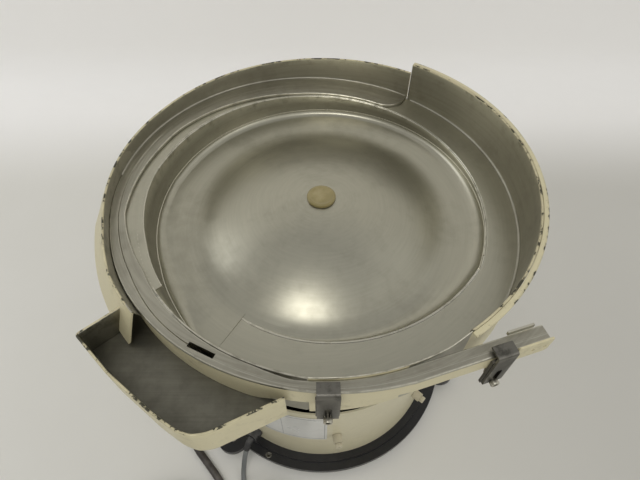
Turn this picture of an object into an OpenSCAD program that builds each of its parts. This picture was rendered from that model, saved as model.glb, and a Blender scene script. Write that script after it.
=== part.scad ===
// Vibratory bowl feeder: a round drive unit on rubber feet carries a spiral track bowl.
// Z is up, the bowl's axis is the Z axis, and the feet stand on z = 0.
// Azimuths are in degrees, counter-clockwise from +X; parts climb the track counter-clockwise.

/* [Base and casing] */
// Height of each rubber foot
foot_h = 8; // [5:1:16]
// Radius of each rubber foot
foot_r = 22; // [16:1:26]
// Diameter of the circle that the feet stand on
foot_pcd = 444; // [436:2:456]
// Radius of the cast base plate
base_r = 219; // [214:1:230]
// Thickness of the base plate at its rim
base_h = 12; // [8:1:20]
// Height of the raised step that the casing stands on
base_step_h = 4; // [2:1:8]
// Outer radius of the casing
casing_r = 194; // [188:1:200]
// Height of the casing
casing_h = 201; // [190:1:230]
// Sheet thickness of the casing
casing_t = 2.5; // [1.5:0.5:4]

/* [Spring drive] */
// Gap between the casing and the top plate
plate_gap = 5; // [3:1:12]
// Radius of the vibrating top plate
plate_r = 182; // [176:1:190]
// Thickness of the top plate
plate_h = 16; // [12:1:24]
// Radius at which the leaf spring packs stand
spring_ring_r = 136; // [130:1:142]
// Lean of the leaf springs from the vertical
spring_lean = 15; // [10:1:20]
// Width of each leaf
leaf_w = 50; // [40:2:54]
// Thickness of each leaf, and of the spacers between leaves
leaf_t = 2.5; // [1.5:0.5:3]
// Leaves in each pack
leaf_count = 3; // [2:1:4]
// Air gap between the magnet and its armature
air_gap = 2; // [1:0.5:4]

/* [Bowl] */
// Radius of the pan's seam, where the wall begins
pan_r = 200; // [190:1:210]
// Depth of the pan's floor below its seam
pan_depth = 20; // [16:1:26]
// Rise of the pan's floor from its edge to its centre
dome_h = 44; // [36:1:50]
// Corner radius between the pan's floor and its wall
pan_fillet = 22; // [16:1:26]
// Inside radius of the outer walls
bowl_r = 240; // [236:1:246]
// Height of the shell that stands between the top plate and the pan
shell_h = 140; // [120:1:160]
// Radius of that shell
shell_r = 160; // [150:1:164]
// Sheet thickness of the pan, the walls and the lower track
sheet_t = 2; // [1:0.5:3]
// Height of the right wall's rim above the seam
right_rim_h = 73; // [70:1:84]
// Height of the left wall's rim above the seam
left_rim_h = 60; // [58:1:70]

/* [Track] */
// Climb of the track in one turn
track_pitch = 74; // [68:1:78]
// Radius at which the ramp leaves the pan's floor
ramp_tip_r = 165; // [160:1:170]
// Step from the lower track up to the upper one
track_step = 4; // [3:0.5:6]
// Height of the discharge above the seam
discharge_h = 62; // [58:1:64]
// Width of the track at the discharge
track_w = 14; // [12:1:16]
// Length of the straight discharge
discharge_l = 131; // [120:1:140]
// Height of the skirt below the track's outer edge
skirt_h = 28; // [22:1:32]

/* [Return tray] */
// Height of the tray's rim above the seam
tray_rim_h = 56; // [52:1:58]
// Depth of the tray
tray_d = 35; // [28:1:38]

/* [Hidden] */

$fn = 96;
// Small clearance at which one piece seats on the next
seat = 0.3;
// Radial clearance of a running fit
run_clear = 0.05;
// Overrun of a cut past the face that it opens
cut = 1;

cream = [0.86, 0.83, 0.72];
steel = [0.62, 0.61, 0.58];
dark_steel = [0.36, 0.36, 0.35];
black = [0.08, 0.08, 0.09];
rubber_black = [0.05, 0.05, 0.05];
zinc = [0.72, 0.72, 0.70];

// Heights of the drive, from the table up
base_z = foot_h;
step_z = base_z + base_h;
casing_z = step_z + base_step_h;
casing_top_z = casing_z + casing_h;
plate_z = casing_top_z + plate_gap;
plate_top_z = plate_z + plate_h;
flange_h = 6;
flange_top_z = plate_top_z + flange_h;
pan_floor_z = flange_top_z + shell_h;
seam_z = pan_floor_z + pan_depth;
step_r = base_r - 13;

// Feet and the lugs of the base plate
foot_count = 3;
foot_az = -132;
foot_pitch = 360 / foot_count;
lug_w = 2 * foot_r + 8;
lug_rise = 1;
lug_r = foot_pcd / 2 + foot_r;
foot_bolt_r = 4;
foot_tap_r = 3.4;
foot_bolt_head_r = 6.5;
foot_bolt_head_h = 8;
insert_h = foot_h - 2;

// Socket screws in the rim of the base plate
base_screw_az = -114;
base_screw_r = 5;
base_screw_ring_r = base_r - 6.5;
base_screw_h = 6;

// Screws that hold the casing to its hoop, in pairs beside each spring pack
pack_count = 4;
pack_az = -62.5;
pack_pitch = 360 / pack_count;
casing_screw_spread = 20.5;
casing_screw_z = casing_z + 106;
casing_screw_az = [for (k = [0:pack_count - 1]) for (s = [-1, 1]) pack_az + k * pack_pitch + s * casing_screw_spread];
hoop_h = 24;
hoop_t = 10;
spacer_r = 7;
spacer_l = 12;
casing_screw_r = 3;
casing_screw_head_r = 5;
casing_screw_head_l = 6;
hex_share = 0.5;

// Data plate, left blank
data_plate_az = -116;
data_plate_turn = 28.5;
data_plate_h = 95;
data_plate_z = casing_z + 91;
data_plate_t = 0.8;

// Leaf spring packs
pack_mid_z = (casing_z + plate_z) / 2;
pack_t = (2 * leaf_count - 1) * leaf_t;
leaf_l = (plate_z - casing_z) * 0.8;
block_t = 26;
block_w = leaf_w;
clamp_grip = 34;
clamp_plate_t = 6;
spring_bolt_r = 5;
spring_bolt_head_r = 8;
spring_bolt_head_h = 6;
spring_bolt_spacing = leaf_w / 2;

// Magnet
core_w = 90;
core_d = 56;
core_leg = core_w / 5;
core_h = 66;
armature_h = 16;
carrier_h = 12;
armature_z = plate_z - seat - carrier_h - armature_h;
core_z = armature_z - air_gap - core_h;
coil_h = core_h - core_leg - 8;
coil_t = core_leg / 2 - 2;
bracket_t = 10;

// Centre tube, bolt and cap
tube_r = 24;
tube_bore_r = 16;
tube_floor_h = 8;
bolt_r = 6;
bolt_head_r = 10.5;
bolt_head_h = 8;
cap_r = 17.5;
cap_h = 4;
cap_plug_l = 8;

// Flange that bolts the bowl to the top plate
flange_r = shell_r + 16;
flange_screw_count = 6;
flange_screw_ring_r = shell_r + 8;
flange_screw_head_r = 5;
flange_screw_head_h = 5;
flange_screw_r = 3;

// Stations of the spiral, as azimuths that keep growing along the track
ramp_start = -122;
ramp_end = -24;
ramp_curve = 1.7;
spiral_start = 160;
spiral_end = 267;
spiral_curve = 1.3;
upper_start = 58;
ledge_end = 214;
bend_end = 288;
left_wall_end = 226;
skirt_start = 222;
station = 6;
dome_r = pan_r - pan_fillet;
dome_shares = [0.25, 0.45, 0.62, 0.78];
fillet_turns = [0, 25, 50, 70, 90];
rim_t = 2.5;
rim_w = 5.5;
rim_lip_h = 3;
wall_drop = 14;
strip_w = 13;
upper_t = track_step - seat;
pan_hole_r = tube_bore_r;

function blend(a, lo, hi) = max(0, min(1, (a - lo) / (hi - lo)));
function mix(a, b, t) = a + (b - a) * t;
function at(r, a, z) = [r * cos(a), r * sin(a), z];

// Top of the lower and of the upper track at an azimuth
function lower_z(a) = pan_floor_z + track_pitch * (a - ramp_start) / 360;
function upper_z(a) = min(lower_z(a) + track_step, seam_z + discharge_h);

// Inside radius of the wall that winds outward from the pan's seam to the outer wall
function wall_r(a) = pan_r + (bowl_r - seat - pan_r)
    * pow(blend(a, spiral_start, spiral_end), spiral_curve);

// Edge of the pan: the ramp's inner edge first, then the seam
function ramp_r(a) = ramp_tip_r + (pan_r - ramp_tip_r) * pow(blend(a, ramp_start, ramp_end), ramp_curve);
function pan_edge_r(a) = a < ramp_end ? ramp_r(a) : wall_r(a);
function pan_edge_z(a) = a < ramp_end ? lower_z(a) : seam_z;
function floor_z(r) = pan_floor_z + dome_h * pow(max(0, 1 - pow(r / dome_r, 2)), 2);

// Edges of the upper track round the bowl
function upper_out_r(a) = bowl_r - seat + (bend_start_out_r - bowl_r) * pow(blend(a, 196, bend_end), 1.2);
bend_in_r = bowl_r + rim_t + 2 * seat;
bend_start_out_r = bend_in_r + track_w;
function strip_at(a) = strip_w * blend(a, 100, 150) * (1 - blend(a, 192, 214));
function corner_at(a) = let (t = blend(a, upper_start, upper_start + 8))
    (1 - sqrt(max(0, 1 - pow(1 - t, 2)))) * (upper_out_r(a) - wall_r(a) - 3 * sheet_t);
function upper_in_r(a) = min(bend_in_r,
    wall_r(a) + sheet_t + seat + strip_at(a) + corner_at(a) + (bend_in_r - bowl_r) * blend(a, 255, 266));

// Sweeps a closed section, given at each station as points that run counter-clockwise seen along the travel
module swept(sections, closed = false) {
    n = len(sections);
    m = len(sections[0]);
    last = closed ? n - 1 : n - 2;
    points = [for (s = sections) for (p = s) p];
    sides = [
        for (i = [0:last]) for (j = [0:m - 1]) let (k = (i + 1) % n, l = (j + 1) % m)
            each [[i * m + j, i * m + l, k * m + l], [i * m + j, k * m + l, k * m + j]]
    ];
    caps = closed ? [] : [[for (j = [m - 1:-1:0]) j], [for (j = [0:m - 1]) (n - 1) * m + j]];
    polyhedron(points = points, faces = concat(sides, caps), convexity = 8);
}

// A band between two radii and two heights at one azimuth
function band(a, r_in, r_out, z_low, z_high) =
    [at(r_in, a, z_low), at(r_out, a, z_low), at(r_out, a, z_high), at(r_in, a, z_high)];

// Copies of the children round the axis
module round_copies(count, first) {
    for (k = [0:count - 1]) rotate([0, 0, first + k * 360 / count]) children();
}

// A tube along route points, with rings square to its run
module cord_tube(route, radius, sides = 8) {
    n = len(route);
    function run(i) = route[min(n - 1, i + 1)] - route[max(0, i - 1)];
    function side(i) = let (v = cross(run(i), [0, 0, 1])) v / norm(v);
    function rise(i) = let (v = cross(side(i), run(i))) v / norm(v);
    swept([for (i = [0:n - 1]) [for (j = [0:sides - 1]) let (q = 360 * j / sides)
        route[i] + radius * (cos(q) * side(i) + sin(q) * rise(i))]]);
}

// Coil of a cord that lies flat: the outer shape of its turns
module cord_coil(centre, mean_r, cord_d) {
    translate([centre[0], centre[1], 0]) rotate_extrude()
        translate([mean_r - coil_rings * cord_d / 2, 0]) square([coil_rings * cord_d, coil_layers * cord_d]);
}

module rubber_feet() {
    color(rubber_black) round_copies(foot_count, foot_az) translate([foot_pcd / 2, 0, 0]) difference() {
        cylinder(r = foot_r, h = foot_h);
        translate([0, 0, -cut]) cylinder(r = foot_tap_r, h = insert_h + cut);
    }
}

module foot_bolts() {
    head_z = step_z + lug_rise + seat;
    color(zinc) round_copies(foot_count, foot_az) translate([foot_pcd / 2, 0, 0]) difference() {
        union() {
            translate([0, 0, base_z + seat]) cylinder(r = foot_bolt_r, h = head_z - base_z - seat);
            translate([0, 0, head_z]) cylinder(r = foot_bolt_head_r, h = foot_bolt_head_h);
        }
        translate([0, 0, head_z + foot_bolt_head_h / 2])
            cylinder(r = foot_bolt_head_r * hex_share, h = foot_bolt_head_h, $fn = 6);
    }
}

module base_plate() {
    register_h = 8;
    register_t = 6;
    register_r = casing_r - casing_t - seat;
    color(black) difference() {
        union() {
            rotate_extrude() polygon([
                [0, base_z + lug_rise], [base_r, base_z + lug_rise], [base_r, step_z], [step_r, step_z],
                [step_r, casing_z],
                [register_r, casing_z], [register_r, casing_z + register_h],
                [register_r - register_t, casing_z + register_h], [register_r - register_t, casing_z], [0, casing_z]
            ]);
            round_copies(foot_count, foot_az) {
                translate([foot_pcd / 2, 0, base_z]) cylinder(r = lug_w / 2, h = base_h + lug_rise);
            }
        }
        round_copies(foot_count, foot_az) translate([foot_pcd / 2, 0, base_z - cut])
            cylinder(r = foot_bolt_r + seat, h = base_h + lug_rise + 2 * cut);
        round_copies(foot_count, base_screw_az) translate([base_screw_ring_r, 0, step_z - base_screw_h])
            cylinder(r = base_screw_r + seat, h = base_screw_h + base_step_h + cut);
    }
}

module base_screws() {
    color(dark_steel) round_copies(foot_count, base_screw_az)
        translate([base_screw_ring_r, 0, step_z - base_screw_h + seat]) difference() {
            cylinder(r = base_screw_r, h = base_screw_h);
            translate([0, 0, base_screw_h / 2]) cylinder(r = base_screw_r * hex_share, h = base_screw_h, $fn = 6);
        }
}

module casing() {
    color(cream) difference() {
        translate([0, 0, casing_z]) cylinder(r = casing_r, h = casing_h);
        translate([0, 0, casing_z - cut]) cylinder(r = casing_r - casing_t, h = casing_h + 2 * cut);
        for (a = casing_screw_az) rotate([0, 0, a]) translate([casing_r - 2 * casing_t, 0, casing_screw_z])
            rotate([0, 90, 0]) cylinder(r = casing_screw_r + seat, h = 3 * casing_t);
        for (g = [power_gland_az, control_gland_az]) rotate([0, 0, g])
            translate([casing_r - 2 * casing_t, 0, gland_z]) rotate([0, 90, 0])
                cylinder(r = gland_thread_r + seat, h = 3 * casing_t);
    }
}

module casing_hoop() {
    hoop_r = casing_r - casing_t - seat;
    color(dark_steel) difference() {
        translate([0, 0, casing_screw_z - hoop_h / 2]) cylinder(r = hoop_r, h = hoop_h);
        translate([0, 0, casing_screw_z - hoop_h / 2 - cut]) cylinder(r = hoop_r - hoop_t, h = hoop_h + 2 * cut);
        for (a = casing_screw_az) rotate([0, 0, a]) translate([hoop_r - hoop_t - cut, 0, casing_screw_z])
            rotate([0, 90, 0]) cylinder(r = casing_screw_r + seat, h = hoop_t + 2 * cut);
    }
}

// Radial place of a casing screw's parts
module at_casing_screws(r) {
    for (a = casing_screw_az) rotate([0, 0, a]) translate([r, 0, casing_screw_z]) rotate([0, 90, 0]) children();
}

module casing_spacers() {
    color("white") at_casing_screws(casing_r + seat) difference() {
        cylinder(r = spacer_r, h = spacer_l);
        translate([0, 0, -cut]) cylinder(r = casing_screw_r + seat, h = spacer_l + 2 * cut);
    }
}

module casing_screws() {
    inner_r = casing_r - casing_t - hoop_t;
    head_r = casing_r + spacer_l + 2 * seat;
    color(cream) at_casing_screws(inner_r) difference() {
        union() {
            cylinder(r = casing_screw_r, h = head_r - inner_r);
            translate([0, 0, head_r - inner_r]) cylinder(r = casing_screw_head_r, h = casing_screw_head_l);
        }
        translate([0, 0, head_r - inner_r + casing_screw_head_l / 2])
            cylinder(r = casing_screw_head_r * hex_share, h = casing_screw_head_l, $fn = 6);
    }
}

module data_plate() {
    color("white") translate([0, 0, data_plate_z]) rotate([0, 0, data_plate_az])
        rotate_extrude(angle = data_plate_turn)
            translate([casing_r + seat, 0]) square([data_plate_t, data_plate_h]);
}

module magnet_bracket() {
    color(dark_steel) {
        translate([-core_w / 2, -core_d / 2, casing_z]) cube([core_w, core_d, bracket_t]);
        for (s = [-1, 1]) translate([s * (core_w - bracket_t) / 2 - bracket_t / 2, -core_d / 2, casing_z])
            cube([bracket_t, core_d, core_z - casing_z - seat - bracket_t]);
        translate([-core_w / 2, -core_d / 2, core_z - seat - bracket_t]) cube([core_w, core_d, bracket_t]);
    }
}

module magnet_core() {
    color("slategray") translate([-core_w / 2, -core_d / 2, core_z]) difference() {
        cube([core_w, core_d, core_h]);
        for (x = [core_leg, 3 * core_leg]) translate([x, -cut, core_leg])
            cube([core_leg, core_d + 2 * cut, core_h]);
    }
}

module magnet_coil() {
    inner = [core_leg + 2 * seat, core_d + 2 * seat, coil_h];
    outer = inner + [2 * coil_t, 2 * coil_t, 0];
    color("sienna") translate([0, 0, core_z + core_leg + seat + coil_h / 2]) difference() {
        cube(outer, center = true);
        cube(inner + [0, 0, 2 * cut], center = true);
    }
}

// Frame of each spring pack: x points outward, y along the travel, leaning with the leaves
module at_packs() {
    for (k = [0:pack_count - 1]) rotate([0, 0, pack_az + k * pack_pitch])
        translate([spring_ring_r, 0, pack_mid_z]) rotate([spring_lean, 0, 0]) children();
}

// One end of the packs: 1 is the upper end, -1 the lower end
module pack_end(end) {
    translate([0, 0, end * (leaf_l - clamp_grip) / 2]) children();
}

module spring_blocks(end) {
    reach = plate_z - casing_z;
    color(dark_steel) intersection() {
        at_packs() pack_end(end) difference() {
            translate([-block_w / 2, pack_t / 2 + seat, end > 0 ? -clamp_grip / 2 : -reach / 2 + clamp_grip / 2])
                cube([block_w, block_t, reach / 2]);
            for (s = [-1, 1]) translate([s * spring_bolt_spacing / 2, 0, 0]) rotate([-90, 0, 0])
                cylinder(r = spring_bolt_r + seat, h = pack_t / 2 + block_t + cut);
        }
        translate([0, 0, casing_z]) cylinder(r = casing_r, h = reach - seat);
    }
}

module clamp_plates(end) {
    color(dark_steel) at_packs() pack_end(end) difference() {
        translate([-block_w / 2, -pack_t / 2 - seat - clamp_plate_t, -clamp_grip / 2])
            cube([block_w, clamp_plate_t, clamp_grip]);
        for (s = [-1, 1]) translate([s * spring_bolt_spacing / 2, -pack_t - clamp_plate_t, 0]) rotate([-90, 0, 0])
            cylinder(r = spring_bolt_r + seat, h = 2 * pack_t + clamp_plate_t);
    }
}

module spring_bolts(end) {
    head_y = -pack_t / 2 - clamp_plate_t - 2 * seat;
    color(zinc) at_packs() pack_end(end) for (s = [-1, 1]) translate([s * spring_bolt_spacing / 2, head_y, 0]) {
        rotate([-90, 0, 0]) cylinder(r = spring_bolt_r, h = pack_t / 2 + block_t / 2 - head_y);
        rotate([90, 0, 0]) cylinder(r = spring_bolt_head_r, h = spring_bolt_head_h, $fn = 6);
    }
}

module bolt_holes_through_pack() {
    for (end = [-1, 1]) pack_end(end) for (s = [-1, 1]) translate([s * spring_bolt_spacing / 2, -pack_t, 0])
        rotate([-90, 0, 0]) cylinder(r = spring_bolt_r + seat, h = 2 * pack_t);
}

module leaf_springs() {
    color("silver") at_packs() difference() {
        for (k = [0:leaf_count - 1]) translate([-leaf_w / 2, -pack_t / 2 + 2 * k * leaf_t, -leaf_l / 2])
            cube([leaf_w, leaf_t, leaf_l]);
        bolt_holes_through_pack();
    }
}

module leaf_spacers() {
    color(zinc) at_packs() difference() {
        for (end = [-1, 1]) pack_end(end) for (k = [1:leaf_count - 1])
            translate([-leaf_w / 2, -pack_t / 2 + (2 * k - 1) * leaf_t, -clamp_grip / 2])
                cube([leaf_w, leaf_t, clamp_grip]);
        bolt_holes_through_pack();
    }
}

// Cables: the thick dark power lead and the thin grey control lead
power_d = 12;
control_d = 8;
gland_z = casing_z + 36;
power_gland_az = -151;
control_gland_az = -122;
gland_l = 16;
gland_r = 11;
gland_thread_r = 8;
power_route = [
    [-184.2, -102.1, 60], [-193, -107, 59], [-202, -112, 54], [-211, -118, 42], [-219, -124, 27],
    [-225, -131, 14], [-228, -140, 7], [-227, -151, 6], [-222, -162, 6], [-214, -174, 6],
    [-205, -186, 6], [-195, -197, 6], [-185, -208, 6], [-175, -219, 6], [-166, -230, 6],
    [-158, -241, 6], [-152, -252, 6], [-150, -262, 6], [-150, -272.4, 6]
];
control_route = [
    [-111.5, -178.4, 60], [-115, -184, 59], [-118, -190, 54], [-121, -197, 44], [-124, -205, 32],
    [-126, -213, 18], [-127, -221, 8], [-126, -230, 4], [-123, -240, 4], [-119, -249, 4], [-118, -258.9, 4]
];
power_coil_r = 64;
power_coil_centre = [-220, -314];
control_coil_r = 44;
control_coil_centre = [-70, -287];
coil_rings = 2;
coil_layers = 2;
plug_r = 14;
plug_l = 40;
plug_start = 15;
pin_r = 2.4;
pin_l = 16;
pin_spacing = 19;
jack_r = 9;
jack_l = 26;
jack_start = 10;

module gland(az, cord_r) {
    color(rubber_black) rotate([0, 0, az]) translate([casing_r, 0, gland_z]) rotate([0, 90, 0]) difference() {
        union() {
            translate([0, 0, seat]) cylinder(r = gland_r, h = gland_l / 2, $fn = 6);
            translate([0, 0, gland_l / 2]) cylinder(r = gland_r - sheet_t, h = gland_l / 2);
            translate([0, 0, -2 * casing_t]) cylinder(r = gland_thread_r, h = 3 * casing_t);
        }
        translate([0, 0, gland_l]) cylinder(r = cord_r, h = cut);
    }
}

module power_gland() { gland(power_gland_az, power_d / 2); }
module control_gland() { gland(control_gland_az, control_d / 2); }
module power_lead() { color([0.16, 0.14, 0.12]) cord_tube(power_route, power_d / 2); }
module control_lead() { color([0.55, 0.55, 0.54]) cord_tube(control_route, control_d / 2); }
module power_coil() { color([0.16, 0.14, 0.12]) cord_coil(power_coil_centre, power_coil_r, power_d); }
module control_coil() { color([0.55, 0.55, 0.54]) cord_coil(control_coil_centre, control_coil_r, control_d); }

// A plug that lies on its coil, along -X (side -1) or +X (side 1)
module at_plug(centre, mean_r, cord_d, radius, start, side) {
    translate([centre[0] - side * start, centre[1] - mean_r + 2, coil_layers * cord_d + radius + seat])
        rotate([0, side * 90, 0]) children();
}

module power_plug() {
    boot_l = plug_l / 2;
    color(rubber_black) at_plug(power_coil_centre, power_coil_r, power_d, plug_r, plug_start, -1) {
        cylinder(r = power_d / 2 + sheet_t, h = boot_l + cut);
        translate([0, 0, boot_l]) cylinder(r = plug_r, h = plug_l);
        for (s = [-1, 1]) translate([0, s * pin_spacing / 2, boot_l + plug_l - cut]) cylinder(r = pin_r, h = pin_l + cut);
    }
}

module control_plug() {
    boot_l = jack_l / 2;
    color(rubber_black) at_plug(control_coil_centre, control_coil_r, control_d, jack_r, jack_start, 1) {
        cylinder(r = control_d / 2 + sheet_t, h = boot_l + cut);
        translate([0, 0, boot_l]) cylinder(r = jack_r, h = jack_l);
    }
}

// Centre of the bowl
tube_z = plate_top_z + seat;
bolt_end_z = plate_top_z - plate_h * 0.75;

module centre_bolt() {
    head_z = tube_z + tube_floor_h + seat;
    color(zinc) {
        translate([0, 0, bolt_end_z]) cylinder(r = bolt_r, h = head_z - bolt_end_z);
        translate([0, 0, head_z]) cylinder(r = bolt_head_r, h = bolt_head_h, $fn = 6);
    }
}

module top_plate() {
    color(black) difference() {
        translate([0, 0, plate_z]) cylinder(r = plate_r, h = plate_h);
        translate([0, 0, bolt_end_z - seat]) cylinder(r = bolt_r + run_clear, h = plate_h);
        round_copies(flange_screw_count, 0) translate([flange_screw_ring_r, 0, plate_z + plate_h / 2])
            cylinder(r = flange_screw_r + seat, h = plate_h);
    }
}

module armature() {
    color("slategray") {
        translate([-core_w / 2, -core_d / 2, armature_z]) cube([core_w, core_d, armature_h]);
        translate([-core_w / 4, -core_d / 2, armature_z]) cube([core_w / 2, core_d, armature_h + carrier_h]);
    }
}

module shell_flange() {
    color(steel) difference() {
        translate([0, 0, plate_top_z + seat]) cylinder(r = flange_r, h = flange_h - seat);
        translate([0, 0, plate_top_z]) cylinder(r = shell_r - 2 * flange_screw_head_r, h = flange_h + cut);
        round_copies(flange_screw_count, 0) translate([flange_screw_ring_r, 0, plate_top_z - cut])
            cylinder(r = flange_screw_r + seat, h = flange_h + 2 * cut);
    }
}

module flange_screws() {
    color(zinc) round_copies(flange_screw_count, 0) translate([flange_screw_ring_r, 0, 0]) difference() {
        union() {
            translate([0, 0, plate_z + plate_h / 2 + seat])
                cylinder(r = flange_screw_r, h = flange_top_z - plate_z - plate_h / 2);
            translate([0, 0, flange_top_z + seat]) cylinder(r = flange_screw_head_r, h = flange_screw_head_h);
        }
        translate([0, 0, flange_top_z + flange_screw_head_h / 2])
            cylinder(r = flange_screw_head_r * hex_share, h = flange_screw_head_h, $fn = 6);
    }
}

module bowl_shell() {
    top_z = floor_z(shell_r) - sheet_t - 2 * seat;
    color(steel) difference() {
        translate([0, 0, flange_top_z + seat]) cylinder(r = shell_r, h = top_z - flange_top_z);
        translate([0, 0, flange_top_z - cut]) cylinder(r = shell_r - sheet_t, h = shell_h + dome_h);
    }
}

module centre_tube() {
    top_z = floor_z(tube_r) - sheet_t - 2 * seat;
    color(steel) difference() {
        translate([0, 0, tube_z]) cylinder(r = tube_r, h = top_z - tube_z);
        translate([0, 0, tube_z + tube_floor_h]) cylinder(r = tube_bore_r, h = top_z - tube_z);
        translate([0, 0, tube_z - cut]) cylinder(r = bolt_r + run_clear, h = tube_floor_h + 2 * cut);
    }
}

module centre_cap() {
    rim_z = floor_z(pan_hole_r) + seat;
    color([0.72, 0.66, 0.42]) {
        translate([0, 0, rim_z]) cylinder(r = cap_r, h = cap_h);
        translate([0, 0, rim_z - cap_plug_l]) cylinder(r = tube_bore_r - seat, h = cap_plug_l + cap_h / 2);
    }
}

// Bowl
function pan_section(a) = let (
    er = pan_edge_r(a),
    ez = pan_edge_z(a),
    rise = ez - floor_z(er),
    fr = max(sheet_t, min(pan_fillet, rise)),
    flat = [for (r = concat([pan_hole_r], dome_r * dome_shares)) [r, floor_z(r), 0]],
    turn = [for (q = fillet_turns) let (r = er - fr * (1 - sin(q))) [r, floor_z(r) + rise * (1 - cos(q)), q]],
    top = concat(flat, turn)
) concat(
    [for (p = top) at(p[0] + sheet_t * sin(p[2]), a, p[1] - sheet_t * cos(p[2]))],
    [for (i = [len(top) - 1:-1:0]) at(top[i][0], a, top[i][1])]
);

module pan() {
    seam_turn = ramp_start + 359.4;
    color(steel) swept([for (a = concat([for (k = [0:59]) ramp_start + k * 6], [seam_turn])) pan_section(a)], closed = true);
}

module inner_wall() {
    foot = ramp_start + 360;
    turns = concat([for (a = [ramp_end + 4:station:foot - 2 * station]) a], [foot - station, foot - 0.6, foot], [foot + 7, foot + 14, foot + 21, spiral_end]);
    color(steel) swept([for (a = turns) band(a, wall_r(a), wall_r(a) + sheet_t,
        a < foot ? seam_z + seat : lower_z(a - 360) + seat,
        mix(lower_z(a), upper_z(a), blend(a, ledge_end, ledge_end + 8)))]);
}

module track_lower() {
    turns = [for (a = [ramp_start:station:ledge_end]) a];
    color(steel) swept([for (a = turns) let (
        r_in = pan_edge_r(a) + sheet_t + seat,
        wide = a < spiral_end - 360 ? wall_r(a + 360) + sheet_t : bowl_r - seat,
        r_out = mix(wide, r_in + 1.75 * strip_w, blend(a, upper_start + 8, upper_start + 20))
    ) band(a, r_in, r_out, lower_z(a) - sheet_t, lower_z(a))]);
}

// Points of the upper track's inner and outer edges, along the bend and then the straight discharge
discharge_dir = [cos(bend_end + 90), sin(bend_end + 90), 0];
function straight(r, s, z) = at(r, bend_end, z) + s * discharge_dir;

module track_upper() {
    turns = concat([for (d = [0.4, 1, 2, 3.5, 5.5, 8]) upper_start + d], [for (a = [upper_start + 14:station:bend_end - 1]) a]);
    z = seam_z + discharge_h;
    slot_r = (upper_in_r(slot_az) + upper_out_r(slot_az)) / 2;
    color(steel) difference() {
        swept(concat(
            [for (a = turns) band(a, upper_in_r(a), upper_out_r(a), upper_z(a) - upper_t, upper_z(a))],
            [for (s = [0, discharge_l / 2, discharge_l]) [
                straight(bend_in_r, s, z - upper_t), straight(bend_start_out_r, s, z - upper_t),
                straight(bend_start_out_r, s, z), straight(bend_in_r, s, z)
            ]]
        ));
        rotate([0, 0, slot_az]) translate([slot_r - slot_w / 2, -slot_l / 2, seam_z])
            cube([slot_w, slot_l, discharge_h + 2 * cut]);
    }
}
slot_w = 5;
slot_az = 243.5;
slot_l = 28;

module right_wall() {
    first = spiral_end - 360 + 0.2;
    turns = [for (k = [0:25]) mix(first, upper_start, k / 25)];
    color(cream) swept([for (a = turns) band(a, bowl_r, bowl_r + rim_t, lower_z(a) - wall_drop, seam_z + right_rim_h)]);
}

module right_rim() {
    first = -57;
    turns = [for (k = [0:20]) mix(first, upper_start, k / 20)];
    r = bowl_r + rim_t + seat;
    color(cream) swept([for (a = turns) band(a, r, r + rim_w, seam_z + right_rim_h - rim_lip_h, seam_z + right_rim_h)]);
}

// Outward lean of the left wall's lower edge, growing towards its free end over the tray
function flare_at(a) = mix(20, 14, blend(a, 200, 214)) * blend(a, 170, 190);
// Outward lean of its rim near the free end
function rim_flare_at(a) = 5 * blend(a, 199, 215);
function left_wall_r(a) = max(bowl_r, upper_out_r(a) + seat);
function left_rim_z(a) = seam_z + left_rim_h + 7 * blend(a, 150, 200);
function left_foot_z(a) = upper_z(a) - wall_drop - 16 * blend(a, 172, 214);

module left_wall() {
    first = upper_start + 0.3;
    turns = [for (k = [0:28]) mix(first, left_wall_end, k / 28)];
    color(cream) swept([for (a = turns) let (r = left_wall_r(a), f = r + flare_at(a), g = r + rim_flare_at(a)) [
        at(f, a, left_foot_z(a)), at(f + rim_t, a, left_foot_z(a)),
        at(g + rim_t, a, left_rim_z(a)), at(g, a, left_rim_z(a))
    ]]);
}

// Gussets under the tracks that join the pan's wall to the outer walls
module wall_ribs() {
    rib_t = 3;
    color(steel) for (a = [-40, 5, 50, 95, 140, 185]) rotate([0, 0, a]) {
        top_z = lower_z(a) - sheet_t - 2 * seat - (a > 66 ? sheet_t : 0);
        in_r = wall_r(a) + sheet_t + 2 * seat;
        rotate([90, 0, 0]) linear_extrude(rib_t, center = true) polygon([
            [in_r, top_z], [bowl_r - 2 * seat, top_z], [bowl_r - 2 * seat, top_z - wall_drop / 2],
            [in_r, min(seam_z - pan_depth / 2, top_z - wall_drop)]
        ]);
    }
}

module track_skirt() {
    turns = concat([for (a = [skirt_start:station:bend_end - station]) a], [bend_end - station / 2]);
    z = seam_z + discharge_h - upper_t - seat;
    function foot_z(a) = mix(tray_floor_z + seat, z - skirt_h, blend(a, 260, 266));
    color(cream) swept(concat(
        [for (a = turns) band(a, upper_out_r(a) - rim_t, upper_out_r(a), foot_z(a), upper_z(a) - upper_t - seat)],
        [for (s = [0, discharge_l / 2, discharge_l]) [
            straight(bend_start_out_r - rim_t, s, z - skirt_h), straight(bend_start_out_r, s, z - skirt_h),
            straight(bend_start_out_r, s, z), straight(bend_start_out_r - rim_t, s, z)
        ]]
    ));
}

// Return tray, as plan points of its outside from the left wall round to the track
tray_floor_z = seam_z + tray_rim_h - tray_d;
tray_back = [-196, -171];
tray_points = [[-226, -197], [-187, -234], [-142, -268], [-120, -282], [-106, -287], [-92, -285], [-31, -256]];
tray_inner = [for (a = [262:-station:skirt_start]) [upper_out_r(a) - rim_t, a]];

tray_path = concat([tray_back], tray_points);
tray_last = len(tray_path) - 1;
function tray_side(i) = let (v = tray_path[min(tray_last, i + 1)] - tray_path[max(0, i - 1)]) [-v[1], v[0]] / norm(v);

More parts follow.
